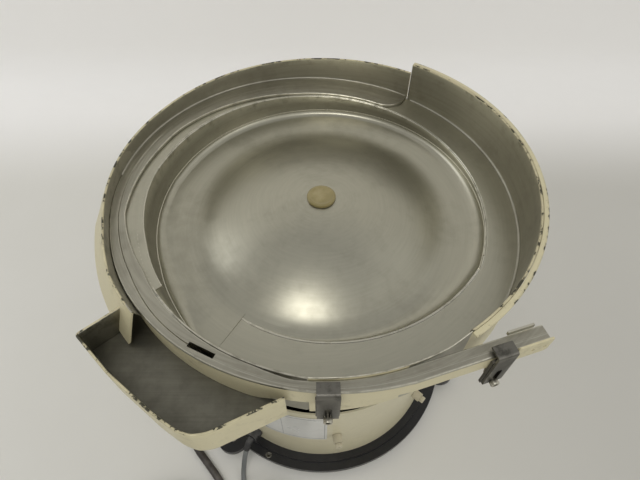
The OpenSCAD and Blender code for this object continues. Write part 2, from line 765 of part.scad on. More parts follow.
module tray_floor() {
    color(steel) translate([0, 0, tray_floor_z - sheet_t]) linear_extrude(sheet_t)
        polygon(concat(
            [for (i = [0:tray_last]) tray_path[i] + (rim_t + 2 * seat) * tray_side(i)],
            [for (p = tray_inner) [p[0] * cos(p[1]), p[0] * sin(p[1])]]
        ));
}

module tray_wall() {
    color(cream) swept([for (i = [0:tray_last]) let (p = tray_path[i], q = p + rim_t * tray_side(i)) [
        [p[0], p[1], tray_floor_z - sheet_t * 4], [q[0], q[1], tray_floor_z - sheet_t * 4],
        [q[0], q[1], seam_z + tray_rim_h], [p[0], p[1], seam_z + tray_rim_h]
    ]]);
}

// Frames of the two hold-down clamps: x along the track, -y outward, z = 0 at the track's top
clamp_turn = 271.2;
clamp_run = 84;
clamp_w = 20;
clamp_t = 2.5;
clamp_reach = 7;
clamp_drop = 57;
clamp_lift = 3.5;
tab_t = 3;
tab_w = 22;
tab_h = 46;
screw_drop = 47;
clamp_slot_w = 6;
clamp_slot_l = 24;
clamp_slot_low = 3.5;
clamp_screw_r = 2.5;
clamp_head_r = 4.25;
clamp_head_h = 5;
clamp_screw_l = 14;

module at_front_clamp() {
    r = upper_out_r(clamp_turn);
    translate([r * cos(clamp_turn), r * sin(clamp_turn), seam_z + discharge_h])
        rotate([0, 0, clamp_turn + 90 - 360]) children();
}

module at_discharge_clamp() {
    translate(straight(bend_start_out_r, clamp_run, seam_z + discharge_h))
        rotate([0, 0, bend_end + 90 - 360]) children();
}

module clamp_bracket() {
    face = tab_t + 2 * seat;
    color(dark_steel) difference() {
        union() {
            translate([-clamp_w / 2, -face - clamp_t, clamp_lift])
                cube([clamp_w, face + clamp_t + clamp_reach, clamp_t]);
            translate([-clamp_w / 2, -face - clamp_t, clamp_lift + clamp_t - clamp_drop])
                cube([clamp_w, clamp_t, clamp_drop]);
        }
        translate([0, -face - clamp_t - cut, -screw_drop - clamp_slot_low]) {
            for (z = [0, clamp_slot_l]) translate([0, 0, z])
                rotate([-90, 0, 0]) cylinder(d = clamp_slot_w, h = clamp_t + 2 * cut);
            translate([-clamp_slot_w / 2, 0, 0]) cube([clamp_slot_w, clamp_t + 2 * cut, clamp_slot_l]);
        }
    }
}

module clamp_tab() {
    difference() {
        translate([-tab_w / 2, -tab_t - seat, -screw_drop - clamp_t * 2]) cube([tab_w, tab_t, tab_h]);
        translate([0, -tab_t - seat - cut, -screw_drop]) rotate([-90, 0, 0])
            cylinder(r = clamp_screw_r + seat, h = tab_t + 2 * cut);
    }
}

module clamp_screw() {
    y = -tab_t - 3 * seat - clamp_t;
    difference() {
        union() {
            translate([0, y - clamp_head_h, -screw_drop]) rotate([-90, 0, 0]) cylinder(r = clamp_head_r, h = clamp_head_h);
            translate([0, y - cut, -screw_drop]) rotate([-90, 0, 0]) cylinder(r = clamp_screw_r, h = clamp_screw_l);
        }
        translate([0, y - clamp_head_h - cut, -screw_drop]) rotate([-90, 0, 0])
            cylinder(r = clamp_head_r * hex_share, h = clamp_head_h / 2 + cut, $fn = 6);
    }
}

module clamp_nut() {
    translate([0, 0, -screw_drop]) rotate([-90, 0, 0]) difference() {
        cylinder(r = clamp_head_r, h = clamp_head_h, $fn = 6);
        translate([0, 0, -cut]) cylinder(r = clamp_screw_r + seat / 2, h = clamp_head_h + 2 * cut);
    }
}

module clamp_tabs() { color(dark_steel) { at_front_clamp() clamp_tab(); at_discharge_clamp() clamp_tab(); } }
module clamp_screws() { color(zinc) { at_front_clamp() clamp_screw(); at_discharge_clamp() clamp_screw(); } }
module clamp_nuts() { color(zinc) { at_front_clamp() clamp_nut(); at_discharge_clamp() clamp_nut(); } }
module front_clamp() { at_front_clamp() clamp_bracket(); }
module discharge_clamp() { at_discharge_clamp() clamp_bracket(); }

// Guides at the discharge end
guide_l = 36;
guide_h = 20;
guide_t = 2;
guide_hole_r = 1.7;

module discharge_guide() {
    color(cream) translate(straight(bend_start_out_r, discharge_l - guide_l + 2 * cut, seam_z + discharge_h - guide_h))
        rotate([0, 0, bend_end + 90 - 360]) difference() {
            translate([0, -guide_t - seat, 0]) cube([guide_l, guide_t, guide_h + clamp_lift]);
            for (x = [guide_l / 2, guide_l * 0.85]) translate([x, -guide_t - seat - cut, guide_h / 2])
                rotate([-90, 0, 0]) cylinder(r = guide_hole_r, h = guide_t + 2 * cut);
        }
}

module discharge_strip() {
    color(steel) translate(straight(bend_in_r, discharge_l - guide_l, seam_z + discharge_h + seat))
        rotate([0, 0, bend_end + 90 - 360]) cube([guide_l * 0.75, guide_t, guide_t * 3]);
}

rubber_feet();
foot_bolts();
base_plate();
base_screws();
casing();
casing_hoop();
casing_spacers();
casing_screws();
data_plate();
magnet_bracket();
magnet_core();
magnet_coil();
spring_blocks(-1);  // lower_spring_blocks
clamp_plates(-1);  // lower_clamp_plates
spring_bolts(-1);  // lower_spring_bolts
leaf_springs();
leaf_spacers();
power_gland();
control_gland();
power_lead();
power_coil();
power_plug();
control_lead();
control_coil();
control_plug();
centre_bolt();
top_plate();
spring_blocks(1);  // upper_spring_blocks
clamp_plates(1);  // upper_clamp_plates
spring_bolts(1);  // upper_spring_bolts
armature();
shell_flange();
flange_screws();
bowl_shell();
centre_tube();
pan();
inner_wall();
track_lower();
track_upper();
right_wall();
right_rim();
left_wall();
wall_ribs();
track_skirt();
tray_floor();
tray_wall();
discharge_guide();
discharge_strip();
clamp_tabs();
clamp_screws();
clamp_nuts();
front_clamp();
discharge_clamp();
centre_cap();
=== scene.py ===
"""Looks of a vibratory bowl feeder: finishes, sheet metal, fasteners, cords, light and camera."""

import logging
import math
from abc import ABC, abstractmethod
from collections.abc import Callable, Iterable, Mapping, Sequence
from dataclasses import dataclass, field
from enum import Enum

import bpy
from mathutils import Matrix, Vector


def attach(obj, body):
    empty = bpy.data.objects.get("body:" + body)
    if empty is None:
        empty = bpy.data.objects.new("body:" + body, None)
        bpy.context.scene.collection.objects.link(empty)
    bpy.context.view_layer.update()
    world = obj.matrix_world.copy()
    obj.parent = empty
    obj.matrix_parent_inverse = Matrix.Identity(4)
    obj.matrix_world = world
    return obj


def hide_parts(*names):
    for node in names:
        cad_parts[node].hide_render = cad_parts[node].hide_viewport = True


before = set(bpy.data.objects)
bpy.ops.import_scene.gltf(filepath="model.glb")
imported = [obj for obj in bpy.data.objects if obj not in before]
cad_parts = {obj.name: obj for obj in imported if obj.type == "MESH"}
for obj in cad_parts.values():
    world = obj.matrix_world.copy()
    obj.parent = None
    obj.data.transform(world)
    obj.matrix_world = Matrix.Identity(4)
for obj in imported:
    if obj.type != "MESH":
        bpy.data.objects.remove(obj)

log = logging.getLogger("bowl_feeder")

MM = 0.001
Colour = tuple[float, float, float]
Point = tuple[float, float, float]


def ease(value: float, low: float, high: float) -> float:
    """Returns how far value lies from low to high, held to 0 to 1."""
    return max(0.0, min(1.0, (value - low) / (high - low)))


def mixed(first: float, second: float, share: float) -> float:
    """Returns the number that lies share of the way from first to second."""
    return first + (second - first) * share


def polar(radius: float, azimuth: float, height: float) -> Vector:
    """Returns the point at that radius, azimuth in degrees and height."""
    turn = math.radians(azimuth)
    return Vector((radius * math.cos(turn), radius * math.sin(turn), height))


def around(centre: tuple[float, float], radius: float, turns: Iterable[float]) -> list[tuple[float, float]]:
    """Returns flat points round a centre, at turns in degrees."""
    return [
        (centre[0] + radius * math.cos(math.radians(q)), centre[1] + radius * math.sin(math.radians(q)))
        for q in turns
    ]


def steps(first: float, last: float, size: float) -> list[float]:
    """Returns evenly spaced numbers from first to last, about size apart."""
    count = max(1, round(abs(last - first) / size))
    return [mixed(first, last, k / count) for k in range(count + 1)]


# Shader wiring


class Wire:
    """One output of a shader node; arithmetic on it adds Math nodes to its graph."""

    def __init__(self, graph: "Graph", socket: bpy.types.NodeSocket) -> None:
        """Keeps the graph and the socket."""
        self.graph = graph
        self.socket = socket

    def __add__(self, other: "Value") -> "Wire":
        """Adds."""
        return self.graph.math("ADD", self, other)

    def __radd__(self, other: "Value") -> "Wire":
        """Adds to a plain value."""
        return self.graph.math("ADD", other, self)

    def __sub__(self, other: "Value") -> "Wire":
        """Subtracts."""
        return self.graph.math("SUBTRACT", self, other)

    def __rsub__(self, other: "Value") -> "Wire":
        """Subtracts from a plain value."""
        return self.graph.math("SUBTRACT", other, self)

    def __mul__(self, other: "Value") -> "Wire":
        """Multiplies."""
        return self.graph.math("MULTIPLY", self, other)

    def __rmul__(self, other: "Value") -> "Wire":
        """Multiplies a plain value."""
        return self.graph.math("MULTIPLY", other, self)

    def __truediv__(self, other: "Value") -> "Wire":
        """Divides."""
        return self.graph.math("DIVIDE", self, other)

    def __rtruediv__(self, other: "Value") -> "Wire":
        """Divides a plain value."""
        return self.graph.math("DIVIDE", other, self)


Value = Wire | float | tuple[float, ...]


class Graph:
    """A node tree under construction."""

    def __init__(self, tree: bpy.types.NodeTree) -> None:
        """Empties the tree."""
        self.tree = tree
        tree.nodes.clear()

    def put(self, value: Value, socket: bpy.types.NodeSocket) -> None:
        """Links a wire to an input, or sets the input's own value.

        Args:
            value: the wire, number or colour.
            socket: the input that takes it.
        """
        if isinstance(value, Wire):
            self.tree.links.new(value.socket, socket)
        elif isinstance(value, tuple) and len(value) == 3 and socket.type == "RGBA":
            socket.default_value = (*value, 1.0)
        else:
            socket.default_value = value

    def add(
        self,
        kind: str,
        inputs: Mapping[str | int, Value] | None = None,
        output: str | int = 0,
        **settings: object,
    ) -> Wire:
        """Adds a node of any kind.

        Args:
            kind: the node's type name without its ShaderNode prefix.
            inputs: values or wires for its inputs, by name or place.
            output: the output to return.
            settings: attributes of the node itself.

        Returns:
            The wire that leaves the node at that output.
        """
        node = self.tree.nodes.new("ShaderNode" + kind)
        for name, setting in settings.items():
            setattr(node, name, setting)
        for name, value in (inputs or {}).items():
            self.put(value, node.inputs[name])
        return Wire(self, node.outputs[output])

    def finish(self, kind: str, surface: Wire) -> None:
        """Adds the tree's output node and links the surface to it."""
        out = self.tree.nodes.new("ShaderNode" + kind)
        self.put(surface, out.inputs["Surface"])

    def math(self, operation: str, *values: Value) -> Wire:
        """Adds a Math node and returns its result."""
        return self.add("Math", dict(enumerate(values)), operation=operation)

    def position(self) -> Wire:
        """Returns the point's place in the object's own frame, in metres."""
        return self.add("TexCoord", output="Object")

    def noise(self, vector: Wire, scale: float, detail: float = 3.0, rough: float = 0.55) -> Wire:
        """Returns plain noise from 0 to 1 at a number of cycles per metre."""
        inputs = {"Vector": vector, "Scale": scale, "Detail": detail, "Roughness": rough}
        return self.add("TexNoise", inputs, "Fac")

    def span(self, value: Value, low: float, high: float, start: float = 0.0, end: float = 1.0) -> Wire:
        """Maps low to high smoothly onto start to end, and holds it there."""
        inputs = {"Value": value, "From Min": low, "From Max": high, "To Min": start, "To Max": end}
        return self.add("MapRange", inputs, interpolation_type="SMOOTHSTEP")

    def blend(self, share: Value, first: Value, second: Value) -> Wire:
        """Mixes two colours."""
        return self.add("Mix", {0: share, 6: first, 7: second}, 2, data_type="RGBA")

    def bump(self, height: Wire, distance: float, strength: float = 1.0) -> Wire:
        """Turns a height from 0 to 1 into a normal, at a depth in metres."""
        return self.add("Bump", {"Height": height, "Distance": distance, "Strength": strength}, "Normal")

    def wear(self) -> Wire:
        """Returns how exposed to wear the surface is, from its own point attribute."""
        return self.add("Attribute", output="Fac", attribute_name="wear")


class Lay(Enum):
    """Direction in which metal was brushed."""

    AROUND = "around the bowl's axis"
    ALONG = "along X"
    NONE = "no direction"


@dataclass(frozen=True)
class Finish(ABC):
    """A surface finish, which becomes one material.

    Args:
        name: the material's name.
        slot: the record's material slot; not used.
        colour: its main colour, linear.
        roughness: its mean roughness.
    """

    name: str
    slot: str
    colour: Colour
    roughness: float

    @abstractmethod
    def shade(self, graph: Graph) -> dict[str, Value]:
        """Returns the inputs of the surface shader."""

    def material(self) -> bpy.types.Material:
        """Builds the material, or returns the one built before."""
        known = bpy.data.materials.get(self.name)
        if known:
            return known
        made = bpy.data.materials.new(self.name)
        made.use_nodes = True
        made.diffuse_color = (*self.colour, 1.0)
        graph = Graph(made.node_tree)
        surface = graph.add("BsdfPrincipled", self.shade(graph), "BSDF")
        graph.finish("OutputMaterial", surface)
        return made


@dataclass(frozen=True)
class Metal(Finish):
    """Bare metal with brush marks, smudges and polished edges.

    Args:
        lay: direction of the brush marks.
        grain: how strong the brush marks are.
        smudge: how strong the darker patches are.
        stain: colour of the darker patches.
        edge: colour of edges that wear keeps bright.
    """

    lay: Lay = Lay.NONE
    grain: float = 0.5
    smudge: float = 0.4
    stain: Colour = (0.17, 0.155, 0.12)
    edge: Colour = (0.60, 0.58, 0.49)

    def streaks(self, graph: Graph, place: Wire) -> Wire:
        """Returns noise that is drawn out along the lay."""
        x, y, z = (graph.add("SeparateXYZ", {0: place}, axis) for axis in "XYZ")
        if self.lay is Lay.AROUND:
            radius = graph.math("SQRT", x * x + y * y) + 1e-5
            vector = graph.add("CombineXYZ", {0: x / radius * 2.2, 1: y / radius * 2.2, 2: z * 300.0})
            inputs = {"Vector": vector, "W": radius * 420.0, "Scale": 1.0, "Detail": 4.0, "Roughness": 0.62}
            return graph.add("TexNoise", inputs, "Fac", noise_dimensions="4D")
        if self.lay is Lay.ALONG:
            vector = graph.add("CombineXYZ", {0: x * 9.0, 1: y * 500.0, 2: z * 500.0})
            return graph.noise(vector, 1.0, 4.0, 0.6)
        return graph.noise(place, 620.0, 3.0, 0.6)

    def shade(self, graph: Graph) -> dict[str, Value]:
        """Returns the inputs of the surface shader."""
        place = graph.position()
        grain = self.streaks(graph, place)
        broad = graph.noise(place, 9.0, 4.0, 0.6)
        spots = graph.noise(place, 70.0, 5.0, 0.65)
        stained = graph.span(broad * 0.65 + spots * 0.35, 0.46, 0.66) * self.smudge
        bright = tuple(min(1.0, c * (1.0 + 0.22 * self.grain)) for c in self.colour)
        dull = tuple(c * (1.0 - 0.22 * self.grain) for c in self.colour)
        base = graph.blend(graph.span(grain, 0.3, 0.7), dull, bright)
        base = graph.blend(stained, base, self.stain)
        worn = graph.wear() * graph.span(spots, 0.3, 0.55)
        base = graph.blend(worn, base, self.edge)
        rough = self.roughness + (grain - 0.5) * 0.22 * self.grain + stained * 0.16 - worn * 0.1
        return {
            "Base Color": base,
            "Metallic": 1.0,
            "Roughness": rough,
            "Normal": graph.bump(grain * 0.7 + spots * 0.3, 0.00002 + 0.00007 * self.grain, 0.5),
        }


@dataclass(frozen=True)
class Paint(Finish):
    """Paint over steel, with grime, and chips down to the metal where edges wear.

    Args:
        grime: colour of the dirt.
        dirt: how much of the surface the dirt covers.
        bare: colour of the metal that the chips show.
        peel: depth of the paint's own ripple, in metres.
        ripple: cycles of the ripple per metre.
    """

    grime: Colour = (0.30, 0.26, 0.17)
    dirt: float = 0.35
    bare: Colour = (0.17, 0.165, 0.13)
    peel: float = 0.00008
    ripple: float = 260.0

    def shade(self, graph: Graph) -> dict[str, Value]:
        """Returns the inputs of the surface shader."""
        place = graph.position()
        fine = graph.noise(place, self.ripple, 3.0, 0.5)
        broad = graph.noise(place, 11.0, 4.0, 0.6)
        ragged = graph.noise(place, 95.0, 6.0, 0.7)
        faded = tuple(min(1.0, c * 1.06) for c in self.colour)
        base = graph.blend(graph.span(broad, 0.35, 0.7), self.colour, faded)
        dirty = graph.span(broad * 0.5 + ragged * 0.5, 0.5, 0.72) * self.dirt
        base = graph.blend(dirty, base, self.grime)
        worn = graph.wear()
        patches = graph.noise(place, 34.0, 4.0, 0.6)
        chipped = graph.span(worn * 0.42 + ragged * 0.55 + patches * 0.45, 0.945, 0.97)
        scuffed = graph.span(worn * 0.5 + patches * 0.5 + ragged * 0.3, 0.78, 1.02) * 0.5
        base = graph.blend(scuffed, base, self.grime)
        base = graph.blend(chipped, base, self.bare)
        specks = graph.span(graph.noise(place, 420.0, 2.0, 0.5), 0.735, 0.75) * 0.7
        base = graph.blend(specks, base, self.grime)
        return {
            "Base Color": base,
            "Metallic": chipped * 0.7,
            "Roughness": self.roughness + dirty * 0.2 + (fine - 0.5) * 0.1,
            "Normal": graph.bump(fine * 0.6 - chipped * 0.9, self.peel, 0.6),
        }


@dataclass(frozen=True)
class Moulded(Finish):
    """Plastic or rubber, with a fine texture and dust.

    Args:
        dust: colour of the dust.
        dusty: how much of it there is.
        texture: cycles of the texture per metre.
        depth: depth of the texture, in metres.
        coat: weight of a clear gloss.
    """

    dust: Colour = (0.34, 0.32, 0.28)
    dusty: float = 0.25
    texture: float = 900.0
    depth: float = 0.00004
    coat: float = 0.0

    def shade(self, graph: Graph) -> dict[str, Value]:
        """Returns the inputs of the surface shader."""
        place = graph.position()
        fine = graph.noise(place, self.texture, 3.0, 0.55)
        broad = graph.noise(place, 30.0, 5.0, 0.65)
        upward = graph.add("SeparateXYZ", {0: graph.add("NewGeometry", output="Normal")}, "Z")
        settled = graph.span(upward, 0.2, 0.95) * graph.span(broad, 0.4, 0.7) * self.dusty
        shade = tuple(c * 0.8 for c in self.colour)
        base = graph.blend(graph.span(broad, 0.3, 0.7), shade, self.colour)
        return {
            "Base Color": graph.blend(settled, base, self.dust),
            "Roughness": self.roughness + settled * 0.4 + (fine - 0.5) * 0.12,
            "Coat Weight": self.coat,
            "Normal": graph.bump(fine, self.depth, 0.5),
        }


@dataclass(frozen=True)
class Printed(Finish):
    """A blank plate with a ruled border, set out in azimuth and height.

    Args:
        middle: azimuth of the plate's middle, in degrees, and its middle height in metres.
        half: half its turn, in degrees, and half its height, in metres.
    """

    middle: tuple[float, float] = (-101.75, 0.1625)
    half: tuple[float, float] = (14.25, 0.0475)

    def shade(self, graph: Graph) -> dict[str, Value]:
        """Returns the inputs of the surface shader."""
        place = graph.position()
        x, y, z = (graph.add("SeparateXYZ", {0: place}, axis) for axis in "XYZ")
        turn = math.radians(self.middle[0])
        along, ahead = y * math.cos(turn) - x * math.sin(turn), x * math.cos(turn) + y * math.sin(turn)
        side = graph.math("ARCTAN2", along, ahead) / math.radians(self.half[0])
        rise = (z - self.middle[1]) / self.half[1]
        lines = None
        for axis, at, width in (
            (side, 0.93, 0.008), (side, -0.93, 0.008),
            (rise, 0.9, 0.012), (rise, -0.9, 0.012), (side, -0.35, 0.006),
        ):
            line = graph.span(graph.math("ABSOLUTE", axis - at), width, width * 2.0, 1.0, 0.0)
            lines = line if lines is None else graph.math("MAXIMUM", lines, line)
        reach = graph.math("MAXIMUM", graph.math("ABSOLUTE", side), graph.math("ABSOLUTE", rise))
        inside = graph.span(reach, 0.94, 0.96, 1.0, 0.0)
        broad = graph.noise(place, 28.0, 5.0, 0.65)
        base = graph.blend(graph.span(broad, 0.42, 0.75) * 0.35, self.colour, (0.42, 0.40, 0.34))
        base = graph.blend(lines * inside * 0.75, base, (0.09, 0.09, 0.11))
        return {
            "Base Color": base,
            "Roughness": self.roughness + (broad - 0.5) * 0.2,
            "Coat Weight": 0.3,
            "Normal": graph.bump(broad, 0.0001, 0.3),
        }


class Palette:
    """The feeder's finishes."""

    pan = Metal("polished_pan", "stainless", (0.44, 0.425, 0.345), 0.33, Lay.AROUND, 0.16, 0.22)
    track = Metal("brushed_track", "stainless", (0.36, 0.345, 0.285), 0.36, Lay.AROUND, 0.55, 0.45)
    sheet = Metal("mill_sheet", "stainless", (0.34, 0.325, 0.265), 0.38, Lay.AROUND, 0.3, 0.4)
    # Stainless of the seam's bead, made pale as a painted highlight along the seam
    highlight_bead = Metal("bead_painted_highlight", "stainless", (0.62, 0.60, 0.50), 0.25, Lay.NONE, 0.3, 0.2)
    # Stainless darkened to about half the other sheets' brightness: a painted shade over the tray
    tray = Metal(
        "tray_sheet_painted_shade", "stainless", (0.19, 0.183, 0.148), 0.42, Lay.ALONG, 0.35, 0.5, (0.10, 0.095, 0.075),
    )
    dark = Metal(
        "blackened_steel", "dark_steel", (0.075, 0.072, 0.062), 0.44, Lay.NONE, 0.4, 0.35,
        (0.06, 0.05, 0.036), (0.27, 0.26, 0.23),
    )
    zinc = Metal("plated_steel", "zinc", (0.42, 0.40, 0.34), 0.36, Lay.NONE, 0.5, 0.6, (0.16, 0.13, 0.09))
    spring = Metal("spring_steel", "spring_steel", (0.33, 0.335, 0.34), 0.30, Lay.NONE, 0.5, 0.3)
    lamination = Metal("stacked_lamination", "lamination", (0.15, 0.15, 0.165), 0.45, Lay.ALONG, 0.9, 0.4)
    copper = Metal("wound_copper", "copper", (0.48, 0.20, 0.10), 0.35, Lay.ALONG, 0.9, 0.3)
    cream = Paint(
        "aged_cream", "cream_paint", (0.62, 0.565, 0.37), 0.42,
        (0.24, 0.21, 0.13), 0.5, (0.075, 0.072, 0.052),
    )
    casing = Paint("casing_paint", "cream_paint", (0.60, 0.555, 0.39), 0.33, dirt=0.25)
    black = Paint(
        "aged_black", "black_paint", (0.009, 0.009, 0.010), 0.36, (0.06, 0.057, 0.05), 0.3,
        (0.16, 0.15, 0.14), 0.0003, 330.0,
    )
    rubber = Moulded("foot_rubber", "rubber", (0.022, 0.022, 0.023), 0.7)
    plastic = Moulded("moulded_black", "black_plastic", (0.02, 0.02, 0.021), 0.42, dusty=0.15)
    white = Moulded("moulded_white", "white_plastic", (0.60, 0.55, 0.40), 0.4, (0.35, 0.3, 0.2), 0.5)
    cap = Moulded(
        "moulded_cap", "cap_plastic", (0.30, 0.245, 0.095), 0.3, (0.42, 0.36, 0.22), 0.4, 160.0, 0.0003, 0.4,
    )
    dark_jacket = Moulded("smooth_dark_jacket", "dark_jacket", (0.045, 0.037, 0.032), 0.45)
    grey_jacket = Moulded("smooth_grey_jacket", "grey_jacket", (0.20, 0.21, 0.205), 0.42)
    label = Printed("blank_label", "label", (0.66, 0.66, 0.63), 0.3)


# Mesh making


@dataclass
class Solid:
    """A mesh in the making, in millimetres.

    Args:
        name: the piece's name.
        body: the body that it rides on.
        finishes: its materials, in order.
        replaces: the nodes that it stands for.
        bevel: width of its rounded edges, in millimetres.
        sharp: angle beyond which an edge stays sharp, in degrees.
    """

    name: str
    body: str
    finishes: Sequence[Finish]
    replaces: Sequence[str] = ()
    bevel: float = 0.0
    sharp: float = 32.0
    points: list[Vector] = field(default_factory=list)
    faces: list[tuple[int, ...]] = field(default_factory=list)
    slots: list[int] = field(default_factory=list)
    wear: list[float] = field(default_factory=list)

    def rings(
        self,
        rings: Sequence[Sequence[Vector]],
        closed: bool = False,
        caps: bool = True,
        slots: Sequence[int] | None = None,
        wear: Sequence[float] | None = None,
    ) -> "Solid":
        """Joins rings of points into a skin.

        Args:
            rings: rings of equally many points.
            closed: whether the last ring joins the first.
            caps: whether the ends are closed by flat faces.
            slots: the finish of the faces that leave each point of a ring.
            wear: how worn each point of a ring is.

        Returns:
            This solid.
        """
        start, size, count = len(self.points), len(rings[0]), len(rings)
        for ring in rings:
            self.points.extend(ring)
            self.wear.extend(wear or [0.0] * size)
        for i in range(count if closed else count - 1):
            here, there = start + i * size, start + (i + 1) % count * size
            for j in range(size):
                k = (j + 1) % size
                self.faces.append((here + j, here + k, there + k, there + j))
                self.slots.append(slots[j] if slots else 0)
        if caps and not closed:
            self.faces.append(tuple(start + j for j in reversed(range(size))))
            self.faces.append(tuple(start + (count - 1) * size + j for j in range(size)))
            self.slots.extend([slots[0] if slots else 0] * 2)
        return self

    def build(self) -> bpy.types.Object:
        """Makes the object, smooths it, and lets it ride on its body."""
        mesh = bpy.data.meshes.new(self.name)
        mesh.from_pydata([p * MM for p in self.points], [], self.faces)
        mesh.polygons.foreach_set("material_index", self.slots)
        mesh.polygons.foreach_set("use_smooth", [True] * len(self.faces))
        worn = mesh.attributes.new("wear", "FLOAT", "POINT")
        worn.data.foreach_set("value", self.wear)
        for finish in self.finishes:
            mesh.materials.append(finish.material())
        mesh.validate()
        mesh.update()
        mesh.set_sharp_from_angle(angle=math.radians(self.sharp))
        made = bpy.data.objects.new(self.name, mesh)
        bpy.context.scene.collection.objects.link(made)
        if self.bevel:
            rounded(made, self.bevel)
        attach(made, self.body)
        if self.replaces:
            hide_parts(*self.replaces)
        log.info("made %s on %s with %d faces", self.name, self.body, len(self.faces))
        return made


def rounded(made: bpy.types.Object, width: float, segments: int = 2, angle: float = 38.0) -> None:
    """Rounds an object's sharp edges.

    Args:
        made: the object.
        width: width of the rounding, in millimetres.
        segments: faces across it.
        angle: edges sharper than this are rounded, in degrees.
    """
    bevel = made.modifiers.new("rounded", "BEVEL")
    bevel.width = width * MM
    bevel.segments = segments
    bevel.limit_method = "ANGLE"
    bevel.angle_limit = math.radians(angle)
    bevel.harden_normals = True
    bevel.use_clamp_overlap = True


def cut_out(made: bpy.types.Object, cutters: Iterable[bpy.types.Object]) -> None:
    """Cuts other objects out of one and removes them.

    Args:
        made: the object to cut, without modifiers.
        cutters: closed meshes.
    """
    for cutter in cutters:
        boolean = made.modifiers.new("cut", "BOOLEAN")
        boolean.operation = "DIFFERENCE"
        boolean.object = cutter
        boolean.solver = "EXACT"
        graph = bpy.context.evaluated_depsgraph_get()
        fresh = bpy.data.meshes.new_from_object(made.evaluated_get(graph))
        made.modifiers.clear()
        old, made.data = made.data, fresh
        bpy.data.meshes.remove(old)
        bpy.data.objects.remove(cutter)
    made.data.set_sharp_from_angle(angle=math.radians(32))


class Outline(Enum):
    """Shape of a turned piece's section."""

    ROUND = 0
    HEX = 6


Profile = Sequence[tuple[float, float]]
Shaped = Sequence[tuple[float, float, Outline]]


def turned(profile: Shaped, base: Vector, axis: Vector, sides: int = 48) -> list[list[Vector]]:
    """Returns rings round an axis.

    Args:
        profile: radius, height along the axis, and outline of each ring, in millimetres.
        base: the point at height 0.
        axis: the direction of the heights.
        sides: points of each ring, a multiple of 12.
    """
    along = axis.normalized()
    first = along.orthogonal().normalized()
    second = along.cross(first)
    rings = []
    for radius, height, outline in profile:
        ring = []
        for k in range(sides):
            angle = 360.0 * k / sides
            reach = radius
            if outline is Outline.HEX:
                reach *= math.cos(math.radians(30)) / math.cos(math.radians((angle % 60) - 30))
            here = math.radians(angle)
            ring.append(base + along * height + (first * math.cos(here) + second * math.sin(here)) * reach)
        rings.append(ring)
    return rings


def lathe(solid: Solid, profile: Profile, sides: int = 180) -> Solid:
    """Adds a body turned round the bowl's axis, from a closed profile of radius and height."""
    stations = [360.0 * k / sides for k in range(sides)]
    return solid.rings([[polar(r, a, z) for r, z in profile] for a in stations], closed=True)


# The bowl's geometry


